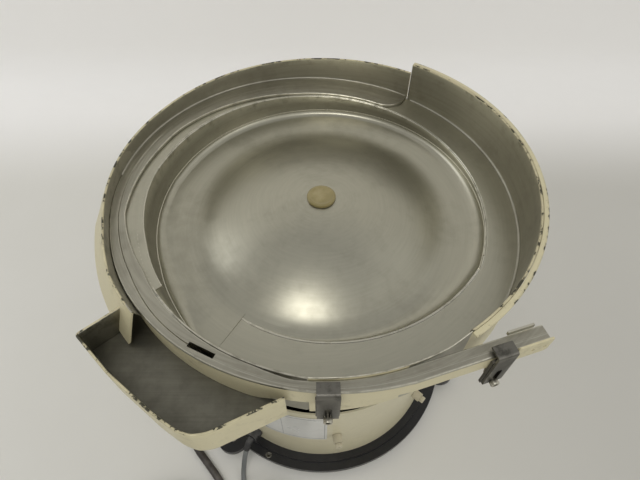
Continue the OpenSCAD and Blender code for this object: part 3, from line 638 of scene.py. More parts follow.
@dataclass(frozen=True)
class Spiral:
    """The bowl's heights and radii, in millimetres and degrees, as in the part's source."""

    seam_z: float = 412.0
    floor_z: float = 392.0
    pan_r: float = 200.0
    dome_h: float = 44.0
    fillet: float = 22.0
    bowl_r: float = 240.0
    ramp_start: float = -122.0
    ramp_end: float = -24.0
    upper_start: float = 58.0
    ledge_end: float = 214.0
    strip_w: float = 13.0
    slot_az: float = 243.5
    bend_end: float = 288.0
    sheet: float = 2.0
    rim: float = 2.5
    seat: float = 0.3
    discharge_z: float = 474.0
    discharge_l: float = 131.0
    track_w: float = 14.0
    tray_floor_z: float = 433.0
    pitch: float = 74.0
    step_up: float = 4.0
    edge_start_r: float = 165.0
    right_rim_z: float = 485.0

    @property
    def bend_in(self) -> float:
        """Inner radius of the track where it goes straight."""
        return self.bowl_r + self.rim + 2 * self.seat

    @property
    def bend_out(self) -> float:
        """Outer radius of the track where it goes straight."""
        return self.bend_in + self.track_w

    @property
    def upper_t(self) -> float:
        """Thickness of the upper track."""
        return self.step_up - self.seat

    def lower(self, a: float) -> float:
        """Top of the lower track, which leaves the floor gently."""
        turned, soft = a - self.ramp_start, 26.0
        climb = max(0.0, turned) ** 2 / (2 * soft)
        if turned > soft:
            climb = turned - soft / 2 * (1 - ease(turned, soft, 70))
        return self.floor_z + self.pitch * climb / 360

    def upper(self, a: float) -> float:
        """Top of the upper track."""
        return min(self.lower(a) + self.step_up, self.discharge_z)

    def wall(self, a: float) -> float:
        """Inside radius of the wall that winds outward from the pan's seam."""
        return self.pan_r + (self.bowl_r - self.seat - self.pan_r) * ease(a, 160, 267) ** 1.3

    def seam_r(self, a: float) -> float:
        """Radius of the pan's seam, from which the wall leans outward."""
        return self.wall(a) - 10 * ease(a, 165, 205) * (1 - ease(a, 232, 237.5))

    def edge_r(self, a: float) -> float:
        """Radius of the pan's edge."""
        if a < self.ramp_end:
            return mixed(self.edge_start_r, self.pan_r, ease(a, self.ramp_start, self.ramp_end) ** 1.7)
        return self.seam_r(a)

    def edge_z(self, a: float) -> float:
        """Height of the pan's edge, which sinks to the ramp's start."""
        if a < self.ramp_end:
            return self.lower(a)
        sunk = ease(a, 212, 237.5)
        return mixed(self.seam_z, self.floor_z + 0.3, sunk * sunk * (3 - 2 * sunk))

    def dome(self, r: float, a: float = -90.0) -> float:
        """Height of the pan's floor, whose outer part rises towards the back."""
        lift = 13.0 * min(ease(a, self.ramp_end - 30, 40), 1 - ease(a, 185, 228)) * ease(r, 85, 195) ** 1.5
        return self.floor_z + lift + self.crown(r)

    def crown(self, r: float) -> float:
        """Height of the pan's dome, which is steepest just before its foot."""
        steep, foot = 140.0, 170.0
        rate = 2 * self.dome_h / (steep * foot)
        if r < steep:
            return self.dome_h - rate * r * r / 2
        return rate * steep / (foot - steep) * max(0.0, foot - r) ** 2 / 2

    def upper_out(self, a: float) -> float:
        """Outer radius of the upper track."""
        return self.bowl_r - self.seat + (self.bend_out - self.bowl_r) * ease(a, 196, self.bend_end) ** 1.2

    def upper_in(self, a: float) -> float:
        """Inner radius of the upper track."""
        strip = self.strip_w * ease(a, 100, 150) * (1 - ease(a, 192, 214))
        turn = 1 - ease(a, self.upper_start, self.upper_start + 8)
        width = self.upper_out(a) - self.wall(a) - 3 * self.sheet
        corner = (1 - math.sqrt(max(0.0, 1 - turn * turn))) * width
        free = (self.bend_in - self.bowl_r) * ease(a, 255, 266)
        return min(self.bend_in, self.wall(a) + self.sheet + self.seat + strip + corner + free)

    def left_foot_r(self, a: float) -> float:
        """Inside radius of the left wall where it stands on the upper track."""
        return max(self.bowl_r, self.upper_out(a) + self.seat)

    def left_tilt(self, a: float) -> float:
        """How far the left wall's rim leans out."""
        return 5 * ease(a, 199, 215)

    def left_rim_z(self, a: float) -> float:
        """Height of the left wall's rim."""
        return self.seam_z + 60 + 7 * ease(a, 150, 200)

    def straight(self, r: float, s: float, z: float, side: float = 0.0) -> Vector:
        """A point of the straight discharge: s along it, and side to its left."""
        along = polar(1, self.bend_end + 90, 0)
        left = Vector((-along.y, along.x, 0))
        return polar(r, self.bend_end, z) + along * s + left * side


SHAPE = Spiral()


def band(a: float, r_in: float, r_out: float, low: float, high: float) -> list[Vector]:
    """Returns a rectangular section at one azimuth: inner low, outer low, outer high, inner high."""
    return [polar(r_in, a, low), polar(r_out, a, low), polar(r_out, a, high), polar(r_in, a, high)]


def lipped(a: float, r: float, t: float, low: float, high: float, lean: float = 0.0) -> list[Vector]:
    """Returns the section of a wall of sheet metal with a rounded top edge, its foot leaning out by lean."""
    half = t / 2
    top = [
        polar(r + half + half * math.cos(math.radians(q)), a, high - half + half * math.sin(math.radians(q)))
        for q in (0, 30, 60, 90, 120, 150, 180)
    ]
    mid = [mixed(low, high - half, share) for share in (0.35, 0.8, 0.95)]
    out = [polar(r + t + lean * (1 - (z - low) / (high - low)), a, z) for z in mid]
    back = [polar(r + lean * (1 - (z - low) / (high - low)), a, z) for z in reversed(mid)]
    return [polar(r + lean, a, low), polar(r + t + lean, a, low), *out, *top, *back]


LIPPED_WEAR = [0.5, 0.6, 0.0, 0.05, 0.35, 0.8, 1.0, 1.0, 1.0, 1.0, 1.0, 0.8, 0.4, 0.1, 0.0]
# Painted outside and over the top, bare inside
LIPPED_SLOTS = [0, 0, 0, 0, 0, 0, 0, 0, 0, 0, 0, 1, 1, 1, 1]


@dataclass
class Bowl:
    """Pan, walls and tracks, all of sheet metal that is welded together.

    Args:
        shape: the bowl's geometry.
        body: the body that they ride on.
        step: degrees from station to station.
    """

    shape: Spiral = SHAPE
    body: str = "bowl"
    step: float = 1.5

    def pan_section(self, a: float) -> list[Vector]:
        """Section of the pan at one azimuth: the underside outward, then the top inward."""
        s = self.shape
        edge, top_z = s.edge_r(a), s.edge_z(a)
        rise = max(0.02, top_z - s.dome(edge, a))
        radius = max(s.sheet, min(s.fillet, rise * 1.15))
        flat = [16, 19, 24, 32, 44, *range(58, 101, 14), 113, 123, 132, *range(140, 165, 6), 169, 174]
        flat += range(182, 219, 6)
        points = [(r, s.dome(r, a), 0.0) for r in flat if r < edge - radius - 1]
        while len(points) < len(flat):
            points.append(points[-1])
        for q in (0, 4, 9, 15, 22, 30, 38, 46, 54, 62, 70, 78, 84, 90):
            turn = math.radians(q)
            r = edge - radius * (1 - math.sin(turn))
            points.append((r, s.dome(r, a) + rise * (1 - math.cos(turn)), turn))
        under = [polar(r + s.sheet * math.sin(q), a, z - s.sheet * math.cos(q)) for r, z, q in points]
        return under + [polar(r, a, z) for r, z, _ in reversed(points)]

    def pan(self) -> None:
        """The domed pan."""
        s = self.shape
        stations = steps(s.ramp_start, s.ramp_start + 359.95, self.step)
        rings = [self.pan_section(a) for a in stations]
        size = len(rings[0])
        wear = [0.0] * size
        wear[size // 2 - 1] = wear[size // 2] = 1.0
        sheet = Solid("pan_sheet", self.body, [Palette.pan], ["pan"], sharp=40)
        sheet.rings(rings, closed=True, wear=wear).build()
        # A real bead along the seam, whose pale finish is a painted highlight line
        sides, bead_r = 8, 0.85
        turns = [math.tau * k / sides for k in reversed(range(sides))]
        rings = []
        for a in steps(s.ramp_end - 2, 237, self.step):
            r, z = s.seam_r(a) + 0.1, s.edge_z(a) + 0.1
            rings.append([polar(r + bead_r * math.cos(q), a, z + bead_r * math.sin(q)) for q in turns])
        Solid("pan_seam", self.body, [Palette.highlight_bead]).rings(rings).build()

    def inner_wall(self) -> None:
        """The wall that rises from the pan's seam and winds outward."""
        s = self.shape
        rings = []
        for a in [*steps(s.ramp_end + 4, 237.4, self.step), 237.9, *steps(238.3, 267, self.step)]:
            low = s.edge_z(a) + s.seat if a < 238 else s.lower(a - 360) + s.seat
            high = mixed(s.lower(a), s.upper(a), ease(a, s.ledge_end + 8, s.ledge_end + 11))
            high = max(high, low + 0.6)
            r, t = s.wall(a), s.sheet
            foot = s.seam_r(a) if a < 238 else r
            mid, waist = mixed(low, high, 0.5), mixed(foot, r, 0.5)
            rings.append([
                polar(foot, a, low), polar(foot + t, a, low),
                polar(waist + t, a, mid), polar(r + t, a, high - 0.4),
                polar(r + t - 0.4, a, high), polar(r + 0.4, a, high),
                polar(r, a, high - 0.4), polar(waist, a, mid),
            ])
        wear = [0.3, 0, 0, 0.6, 1, 1, 0.9, 0]
        wall = Solid("inner_wall_sheet", self.body, [Palette.sheet], ["inner_wall"], sharp=40)
        wall.rings(rings, wear=wear).build()

    def track_lower(self) -> None:
        """The ramp and the ledge that it becomes, with a weld along the outer wall."""
        s = self.shape
        rings, weld = [], []
        for a in steps(s.ramp_start, s.ledge_end + 8, self.step):
            r_in = s.edge_r(a) + (s.sheet + s.seat) * ease(a, s.ramp_start, s.ramp_start + 5)
            wide = s.wall(a + 360) + s.sheet if a < -93 else s.bowl_r - s.seat
            r_out = mixed(wide, r_in + 1.75 * s.strip_w, ease(a, s.upper_start + 8, s.upper_start + 20))
            z = s.lower(a)
            across = [mixed(r_in, r_out, k) for k in (0.35, 0.7)]
            rings.append([
                polar(r_in, a, z - s.sheet), polar(r_out, a, z - s.sheet), polar(r_out, a, z),
                *[polar(r, a, z) for r in reversed(across)],
                polar(r_in + 1.3, a, z), polar(r_in + 0.4, a, z), polar(r_in, a, z - 0.4),
            ])
            if -92 < a < s.upper_start:
                weld.append(a)
        Solid("ramp_sheet", self.body, [Palette.pan], ["track_lower"], sharp=40).rings(
            rings, wear=[0, 0, 0, 0, 0, 0.1, 0.9, 1]
        ).build()
        self.fillet("lower_weld", weld, s.lower, lambda a: s.bowl_r, 3.0)

    def fillet(
        self,
        name: str,
        stations: Sequence[float],
        height: Callable[[float], float],
        radius: Callable[[float], float],
        size: float,
    ) -> None:
        """A ground weld that fills the corner between a track and the wall outside it.

        Args:
            name: the piece's name.
            stations: its azimuths.
            height: the track's top at an azimuth.
            radius: the wall's inside radius at an azimuth.
            size: the weld's reach across and up, in millimetres.
        """
        rings = []
        for a in stations:
            r, z = radius(a), height(a)
            uneven = 0.9 + 0.1 * math.sin(a * 1.7) * math.sin(a * 0.63)
            reach = size * uneven * min(1.0, ease(a, stations[0], stations[0] + 6) + 0.25)
            turns = [math.radians(q) for q in range(0, 91, 15)]
            arc = [polar(r - reach + reach * math.sin(q), a, z + reach - reach * math.cos(q)) for q in turns]
            rings.append([polar(r - 0.02, a, z - 0.1), *reversed(arc)])
        Solid(name, self.body, [Palette.track], sharp=80).rings(rings).build()

    def track_upper(self) -> None:
        """The upper track with its scribed groove, slot and straight discharge."""
        s = self.shape
        # The groove's place across the track, by azimuth
        fractions = {
            176.0: 0.50, 190.0: 0.42, 199.0: 0.46, 210.0: 0.52,
            220.0: 0.56, 228.0: 0.62, 237.0: 0.62, 241.0: 0.60,
        }
        rings = []
        azimuths = [s.upper_start + d for d in (0.4, 0.7, 1.2, 2, 3, 4.2, 5.6, 7)]
        azimuths += steps(s.upper_start + 8.5, s.bend_end - 1, self.step)

        def section(r_in: float, r_out: float, z: float, share: float, depth: float) -> Profile:
            """Returns radius and height of the track's section, with a groove of that depth."""
            g = mixed(r_in, r_out, share)
            return [
                (r_in, z - s.upper_t), (r_out, z - s.upper_t),
                (r_out, z - 0.5), (r_out - 0.5, z), (r_out - 1.5, z),
                (g + 1.4, z), (g + 0.55, z), (g, z - depth), (g - 0.55, z), (g - 1.4, z),
                (r_in + 1.5, z), (r_in + 0.5, z), (r_in, z - 0.5),
            ]

        marks = sorted(fractions)
        for a in azimuths:
            k = max(0, min(len(marks) - 2, sum(a > m for m in marks) - 1))
            share = mixed(fractions[marks[k]], fractions[marks[k + 1]], ease(a, marks[k], marks[k + 1]))
            depth = 0.8 * ease(a, 150, 176) * (1 - ease(a, 241, 242))
            places = section(s.upper_in(a), s.upper_out(a), s.upper(a), share, depth)
            rings.append([polar(r, a, z) for r, z in places])
        for d in steps(0, s.discharge_l, 6):
            places = section(s.bend_in, s.bend_out, s.discharge_z, 0.6, 0.0)
            rings.append([s.straight(r, d, z) for r, z in places])
        wear = [0, 0.2, 0.9, 1, 0.1, 0.1, 0.6, 0.0, 0.3, 0.05, 0.1, 0.9, 1]
        track = Solid("upper_track_sheet", self.body, [Palette.track], ["track_upper"], sharp=30)
        cut_out(track.rings(rings, wear=wear).build(), [self.slot_cutter()])
        self.fillet("upper_weld", steps(s.upper_start + 1, 176, self.step), s.upper, lambda a: s.bowl_r, 2.4)

    def slot_cutter(self) -> bpy.types.Object:
        """The block that cuts the through slot of the upper track."""
        s = self.shape
        middle = (s.upper_in(s.slot_az) + s.upper_out(s.slot_az)) / 2
        here, along = polar(middle, s.slot_az, 0), polar(1, s.slot_az + 90, 0)
        across = polar(1, s.slot_az, 0)
        corners = [(-14, 2.5), (14, 2.5), (14, -2.5), (-14, -2.5)]
        heights = (s.discharge_z - 19, s.discharge_z + 11)
        rings = [[here + along * x + across * y + Vector((0, 0, z)) for x, y in corners] for z in heights]
        return Solid("slot_cutter", self.body, [Palette.highlight_bead]).rings(rings).build()

    def right_wall(self) -> None:
        """The right outer wall and its folded rim."""
        s = self.shape
        wall = Solid("right_wall_sheet", self.body, [Palette.cream, Palette.sheet], ["right_wall"], sharp=50)
        azimuths = steps(-57, s.upper_start, self.step)
        rings = [lipped(a, s.bowl_r, s.rim, s.lower(a) - 14, s.right_rim_z) for a in azimuths]
        wall.rings(rings, slots=LIPPED_SLOTS, wear=LIPPED_WEAR)
        # In front the wall is thin and low, and the stretch by the thick wall is bare
        thin = s.rim * 0.6
        for first, last, painted in ((-92.8, -72, 5), (-72, -57, 0)):
            rings = []
            for a in steps(first, last, self.step):
                foot = s.lower(a) - 14 + 11 * (1 - ease(a, -66, -57.5))
                edge = mixed(s.discharge_z + 3.5, s.right_rim_z, ease(a, -62, -57.2))
                rings.append(lipped(a, s.bowl_r + s.rim - thin, thin, foot, edge))
            slots = [0] * painted + [1] * (len(LIPPED_SLOTS) - painted)
            wall.rings(rings, slots=slots, wear=LIPPED_WEAR)
        wall.build()
        # Outward and downward place of each point of the lip's section
        section = (
            (0, 3), (4.6, 3), (5.3, 2.4), (5.5, 1.5), (5.2, 0.6),
            (4.2, 0.1), (2.4, 0.25), (0.8, 0.1), (0, 0.4),
        )
        r, z = s.bowl_r + s.rim + s.seat, s.right_rim_z
        rings = [[polar(r + out, a, z - down) for out, down in section] for a in azimuths]
        lip = Solid("right_rim_lip", self.body, [Palette.cream], ["right_rim"], sharp=60)
        lip.rings(rings, wear=[0, 0.3, 0.7, 0.9, 1, 0.9, 0.55, 0.75, 0.6]).build()

    def left_wall(self) -> None:
        """The left outer wall, whose free end leans out over the tray."""
        s = self.shape
        rings = []
        for a in steps(s.upper_start + 0.3, 226, self.step):
            tilt = s.left_tilt(a)
            foot = s.upper(a) - 14 - 16 * ease(a, 172, 214)
            rim = s.left_rim_z(a) - 3 * ease(a, 221, 226)
            rings.append(lipped(a, s.left_foot_r(a) + tilt, s.rim, foot, rim, 21 * ease(a, 168, 190) - tilt))
        wall = Solid("left_wall_sheet", self.body, [Palette.cream, Palette.sheet], ["left_wall"], sharp=50)
        wall.rings(rings, slots=LIPPED_SLOTS, wear=LIPPED_WEAR).build()

    def lining(self) -> None:
        """The inner leaf that closes the leaning wall's end against the track."""
        s, leaf = self.shape, 1.2
        rings = []
        for a in steps(166, 226, self.step):
            foot, low, high = s.left_foot_r(a) - 0.2, s.upper(a) - 3.5, s.left_rim_z(a) - 1.5
            top = foot + s.left_tilt(a) + 0.5
            corners = ((foot, low), (foot + leaf, low), (top + leaf, high), (top, high))
            rings.append([polar(r, a, z) for r, z in corners])
        lining = Solid("wall_lining", self.body, [Palette.sheet], bevel=0.2)
        lining.rings(rings, wear=[0.2, 0, 0.6, 0.6]).build()

    def skirt(self) -> None:
        """The painted skirt below the track's outer edge."""
        s = self.shape
        z = s.discharge_z - s.upper_t - s.seat
        rings = []
        low = z - 19
        for a in [*steps(222, s.bend_end - 6, self.step), s.bend_end - 3]:
            foot = mixed(mixed(s.tray_floor_z + s.seat, z - 25, ease(a, 256, 262)), low, ease(a, 264, 280))
            top = s.upper(a) - s.upper_t - s.seat
            rings.append(band(a, s.upper_out(a) - s.rim, s.upper_out(a), foot, top))
        r_in, r_out = s.bend_out - s.rim, s.bend_out
        corners = ((r_in, low), (r_out, low), (r_out, z), (r_in, z))
        rings += [[s.straight(r, d, z) for r, z in corners] for d in steps(0, s.discharge_l, 8)]
        skirt = Solid("track_skirt_sheet", self.body, [Palette.cream], ["track_skirt"], bevel=0.5)
        skirt.rings(rings, wear=[0.5, 0.55, 0.6, 0.3]).build()

    def build(self) -> None:
        """Builds every piece of the bowl."""
        self.pan()
        self.inner_wall()
        self.track_lower()
        self.track_upper()
        self.right_wall()
        self.left_wall()
        self.lining()
        self.skirt()


@dataclass
class Tray:
    """The return tray at the front left.

    Args:
        shape: the bowl's geometry.
        path: plan points of its outside, from the left wall round to the track.
        rim_z: height of its rim.
    """

    shape: Spiral = SHAPE
    path: Sequence[tuple[float, float]] = (
        (-192, -168), (-226, -197), (-187, -234), (-142, -268),
        (-120, -282), (-106, -287), (-92, -285), (-31, -256),
    )
    rim_z: float = 468.0

    def smooth_path(self) -> list[Vector]:
        """The path with its corners rounded."""
        raw = [Vector((x, y, 0)) for x, y in self.path]
        made = [raw[0]]
        for i in range(1, len(raw) - 1):
            before, here, after = raw[i - 1], raw[i], raw[i + 1]
            reach = min(5.0, (here - before).length * 0.4, (after - here).length * 0.4)
            start = here + (before - here).normalized() * reach
            end = here + (after - here).normalized() * reach
            for t in (0.0, 0.25, 0.5, 0.75, 1.0):
                made.append(start * (1 - t) ** 2 + here * 2 * t * (1 - t) + end * t * t)
        return [*made, raw[-1]]

    def build(self) -> None:
        """Builds the tray's wall and floor."""
        s = self.shape
        path = self.smooth_path()
        sides = []
        for i, here in enumerate(path):
            run = (path[min(len(path) - 1, i + 1)] - path[max(0, i - 1)]).normalized()
            sides.append(Vector((-run.y, run.x, 0)))
        low, high, half = s.tray_floor_z - 8, self.rim_z, s.rim / 2
        # Inward and upward place of each point of the wall's section, from the outer foot round
        section = [(0.0, z) for z in (low, low + 12, high - 8)]
        for turn in (math.radians(q) for q in (0, 35, 70, 110, 145, 180)):
            section.append((half - half * math.cos(turn), high - half + half * math.sin(turn)))
        section += [(s.rim, z) for z in (high - 8, low + 9, low)]
        section.reverse()
        rings = [[here + side * r + Vector((0, 0, z)) for r, z in section] for here, side in zip(path, sides)]
        wear = [0.2, 0.0, 0.3, 0.8, 1.0, 1.0, 1.0, 1.0, 0.8, 0.25, 0.15, 0.6]
        slots = [1, 1, 1, 1, 0, 0, 0, 0, 0, 0, 0, 0]
        wall = Solid("tray_wall_sheet", "bowl", [Palette.cream, Palette.tray], ["tray_wall"], sharp=50)
        wall.rings(rings, slots=slots, wear=wear).build()
        outline = [here + side * (s.rim + 0.1) for here, side in zip(path, sides)]
        # Under the slot the floor reaches inward, a dark sheet that paints the shade seen through the slot
        for a in steps(262, 214, 4):
            shade_under_slot = 18 * (1 - ease(a, 248, 254)) * ease(a, 226, 232)
            outline.append(polar(s.upper_out(a) - s.rim - shade_under_slot, a, 0))
        # Under the left wall's tip
        outline += [polar(256, 214, 0), polar(257, 218, 0)]
        rings = [[p + Vector((0, 0, z)) for p in outline] for z in (s.tray_floor_z - s.sheet, s.tray_floor_z)]
        Solid("tray_floor_sheet", "bowl", [Palette.tray], ["tray_floor"], bevel=0.3).rings(rings).build()


class Fasteners:
    """Socket screws, nuts and washers."""

    @staticmethod
    def screw(
        solid: Solid, seat: Vector, axis: Vector, head_r: float, head_h: float, shank_r: float, shank_l: float
    ) -> None:
        """Adds a socket head screw.

        Args:
            solid: the mesh that takes it.
            seat: the middle of the face under the head.
            axis: the direction from the shank to the head.
            head_r: radius of the head.
            head_h: height of the head.
            shank_r: radius of the shank.
            shank_l: length of the shank.
        """
        deep, key = head_h * 0.55, head_r * 0.56
        round_, hexed = Outline.ROUND, Outline.HEX
        shank = [
            (0.05, -shank_l), (shank_r * 0.8, -shank_l), (shank_r, -shank_l + shank_r * 0.3), (shank_r, 0),
        ]
        head = [
            (head_r * 0.97, 0), (head_r, head_h * 0.06), (head_r, head_h * 0.86),
            (head_r * 0.95, head_h * 0.96), (head_r * 0.87, head_h), (key * 1.2, head_h),
        ]
        socket = [(key, head_h - 0.25), (key, head_h - deep), (0.05, head_h - deep - key * 0.3)]
        profile = [*((r, h, round_) for r, h in shank + head), *((r, h, hexed) for r, h in socket)]
        wear = [0, 0, 0, 0, 0, 0.3, 0.3, 0.9, 0.8, 0.4, 0.3, 0, 0]
        start, rings = len(solid.wear), turned(profile, seat, axis)
        solid.rings(rings, caps=False)
        solid.wear[start:] = [value for value, ring in zip(wear, rings) for _ in ring]

    @staticmethod
    def nut(solid: Solid, seat: Vector, axis: Vector, radius: float, height: float, bore: float) -> None:
        """Adds a hexagon nut with chamfered corners."""
        round_, hexed = Outline.ROUND, Outline.HEX
        profile = [
            (bore, 0, round_), (radius * 0.86, 0, round_), (radius, height * 0.1, hexed),
            (radius, height * 0.9, hexed), (radius * 0.86, height, round_), (bore * 1.15, height, round_),
            (bore, height * 0.92, round_), (bore, height * 0.5, round_),
        ]
        solid.rings(turned(profile, seat, axis), closed=True)


@dataclass
class Clamp:
    """A hold-down clamp: bent strip with a slot, its tab, screw and nut.

    Args:
        name: its body, the node that it stands for, and the start of its pieces' names.
        origin: the point of the track's outer top edge that it sits on.
        along: the track's direction there.
        width: width of the strip, in millimetres, as are the sizes below.
        thick: thickness of the strip.
        lift: height of its top leaf's underside over the track.
        drop: height of the strip.
        reach: how far its top leaf reaches inward from the track's edge.
        screw_drop: how far the screw lies below the track.
    """

    name: str
    origin: Vector
    along: Vector
    width: float = 20.0
    thick: float = 2.5
    lift: float = 3.5
    drop: float = 57.0
    reach: float = 7.0
    screw_drop: float = 47.0

    def at(self, x: float, y: float, z: float) -> Vector:
        """A point: x along the track, y inward, z up."""
        inward = Vector((-self.along.y, self.along.x, 0))
        return self.origin + self.along * x + inward * y + Vector((0, 0, z))

    def strip(self) -> None:
        """The bent strip with its slot."""
        face, t, bend = -3.6, self.thick, 3.2
        top, foot = self.lift + t, self.lift + t - self.drop
        centre = (face - t + bend, top - bend)
        outer = [(self.reach, top - 0.4), (self.reach - 0.4, top)]
        outer += around(centre, bend, range(90, 181, 15))
        outer += [(face - t, foot + 0.5), (face - t + 0.5, foot), (face - 0.4, foot), (face, foot + 0.4)]
        outer += around(centre, bend - t, range(180, 89, -15))
        outer += [(self.reach, self.lift)]
        outer.reverse()
        half = self.width / 2
        ends = (-half, -half + 0.5, half - 0.5, half)
        rings = [[self.at(x, y, z) for y, z in outer] for x in ends]
        strip = Solid(self.name + "_strip", self.name, [Palette.dark], [self.name])
        made = strip.rings(rings, wear=[0.55] * len(outer)).build()
        low, high, r = -self.screw_drop - 3.5, -self.screw_drop + 20.5, 3.0
        loop = around((0, high), r, range(0, 181, 15)) + around((0, low), r, range(180, 361, 15))
        loop.reverse()
        rings = [[self.at(x, y, z) for x, z in loop] for y in (face - t - 2, face + 2)]
        cut_out(made, [Solid("clamp_cutter", self.name, [Palette.dark]).rings(rings).build()])
        rounded(made, 0.35)

    def tab(self, solid: Solid) -> None:
        """Adds the welded tab behind the strip."""
        outline = [(-11, -52), (11, -52), (11, -8), (8, -6), (-8, -6), (-11, -8)]
        solid.rings([[self.at(x, y, z) for x, z in outline] for y in (-0.3, -3.3)], wear=[0.4] * 6)

    def screw(self, solid: Solid) -> None:
        """Adds the clamp's screw."""
        out = -Vector((-self.along.y, self.along.x, 0))
        Fasteners.screw(solid, self.at(0, -6.4, -self.screw_drop), out, 4.25, 5.0, 2.5, 13.0)

    def nut(self, solid: Solid) -> None:
        """Adds the nut behind the tab."""
        inward = Vector((-self.along.y, self.along.x, 0))
        Fasteners.nut(solid, self.at(0, 0.0, -self.screw_drop), inward, 4.25, 5.0, 2.6)


@dataclass
class Discharge:
    """What stands at the discharge: two clamps, the outer guide and the inner strip."""

    shape: Spiral = SHAPE

    def clamps(self) -> list[Clamp]:
        """The two clamps."""
        s = self.shape
        front = 271.2
        along = polar(1, front + 90, 0)
        straight = polar(1, s.bend_end + 90, 0)
        return [
            Clamp("front_clamp", polar(s.upper_out(front), front, s.discharge_z), along),
            Clamp("discharge_clamp", s.straight(s.bend_out, 84, s.discharge_z), straight),
        ]

    def build(self) -> None:
        """Builds the clamps, guide and strip."""
        s = self.shape
        tabs = Solid("clamp_tab_plates", "bowl", [Palette.dark], ["clamp_tabs"], bevel=0.4)
        screws = Solid("clamp_socket_screws", "bowl", [Palette.zinc], ["clamp_screws"], sharp=30)
        nuts = Solid("clamp_hex_nuts", "bowl", [Palette.zinc], ["clamp_nuts"], sharp=25)
        for clamp in self.clamps():
            clamp.strip()
            clamp.tab(tabs)
            clamp.screw(screws)
            clamp.nut(nuts)
        for solid in (tabs, screws, nuts):
            solid.build()
        start, low, high = s.discharge_l - 34, s.discharge_z - 20, s.discharge_z + 3.5
        outline = [
            (0, low + 1), (1, low), (33, low), (36, low + 3),
            (36, high - 1), (35, high), (1.5, high), (0, high - 1.5),
        ]
        rings = [[s.straight(s.bend_out, start + x, z, -y) for x, z in outline] for y in (0.3, 2.3)]
        guide = Solid("guide_plate", "bowl", [Palette.cream], ["discharge_guide"])
        guide = guide.rings(rings, wear=[0.7] * 8).build()
        cutters = []
        along = polar(1, s.bend_end + 90, 0)
        out = -Vector((-along.y, along.x, 0))
        for x in (18.0, 30.6):
            profile = [(1.7, height, Outline.ROUND) for height in (-2, 5)]
            hole = turned(profile, s.straight(s.bend_out, start + x, low + 10), out, 24)
            cutters.append(Solid("hole_cutter", "bowl", [Palette.zinc]).rings(hole).build())
        cut_out(guide, cutters)
        rounded(guide, 0.3)
        outline = [(0, 0.5), (0.5, 0), (26.5, 0), (27, 0.5), (27, 5), (26, 6), (1, 6), (0, 5)]
        z = s.discharge_z + s.seat
        start = s.discharge_l - 36
        rings = [[s.straight(s.bend_in, start + x, z + h, y) for x, h in outline] for y in (2.0, 0.0)]
        strip = Solid("inner_strip", "bowl", [Palette.sheet], ["discharge_strip"], bevel=0.25)
        strip.rings(rings, wear=[0.8] * 8).build()


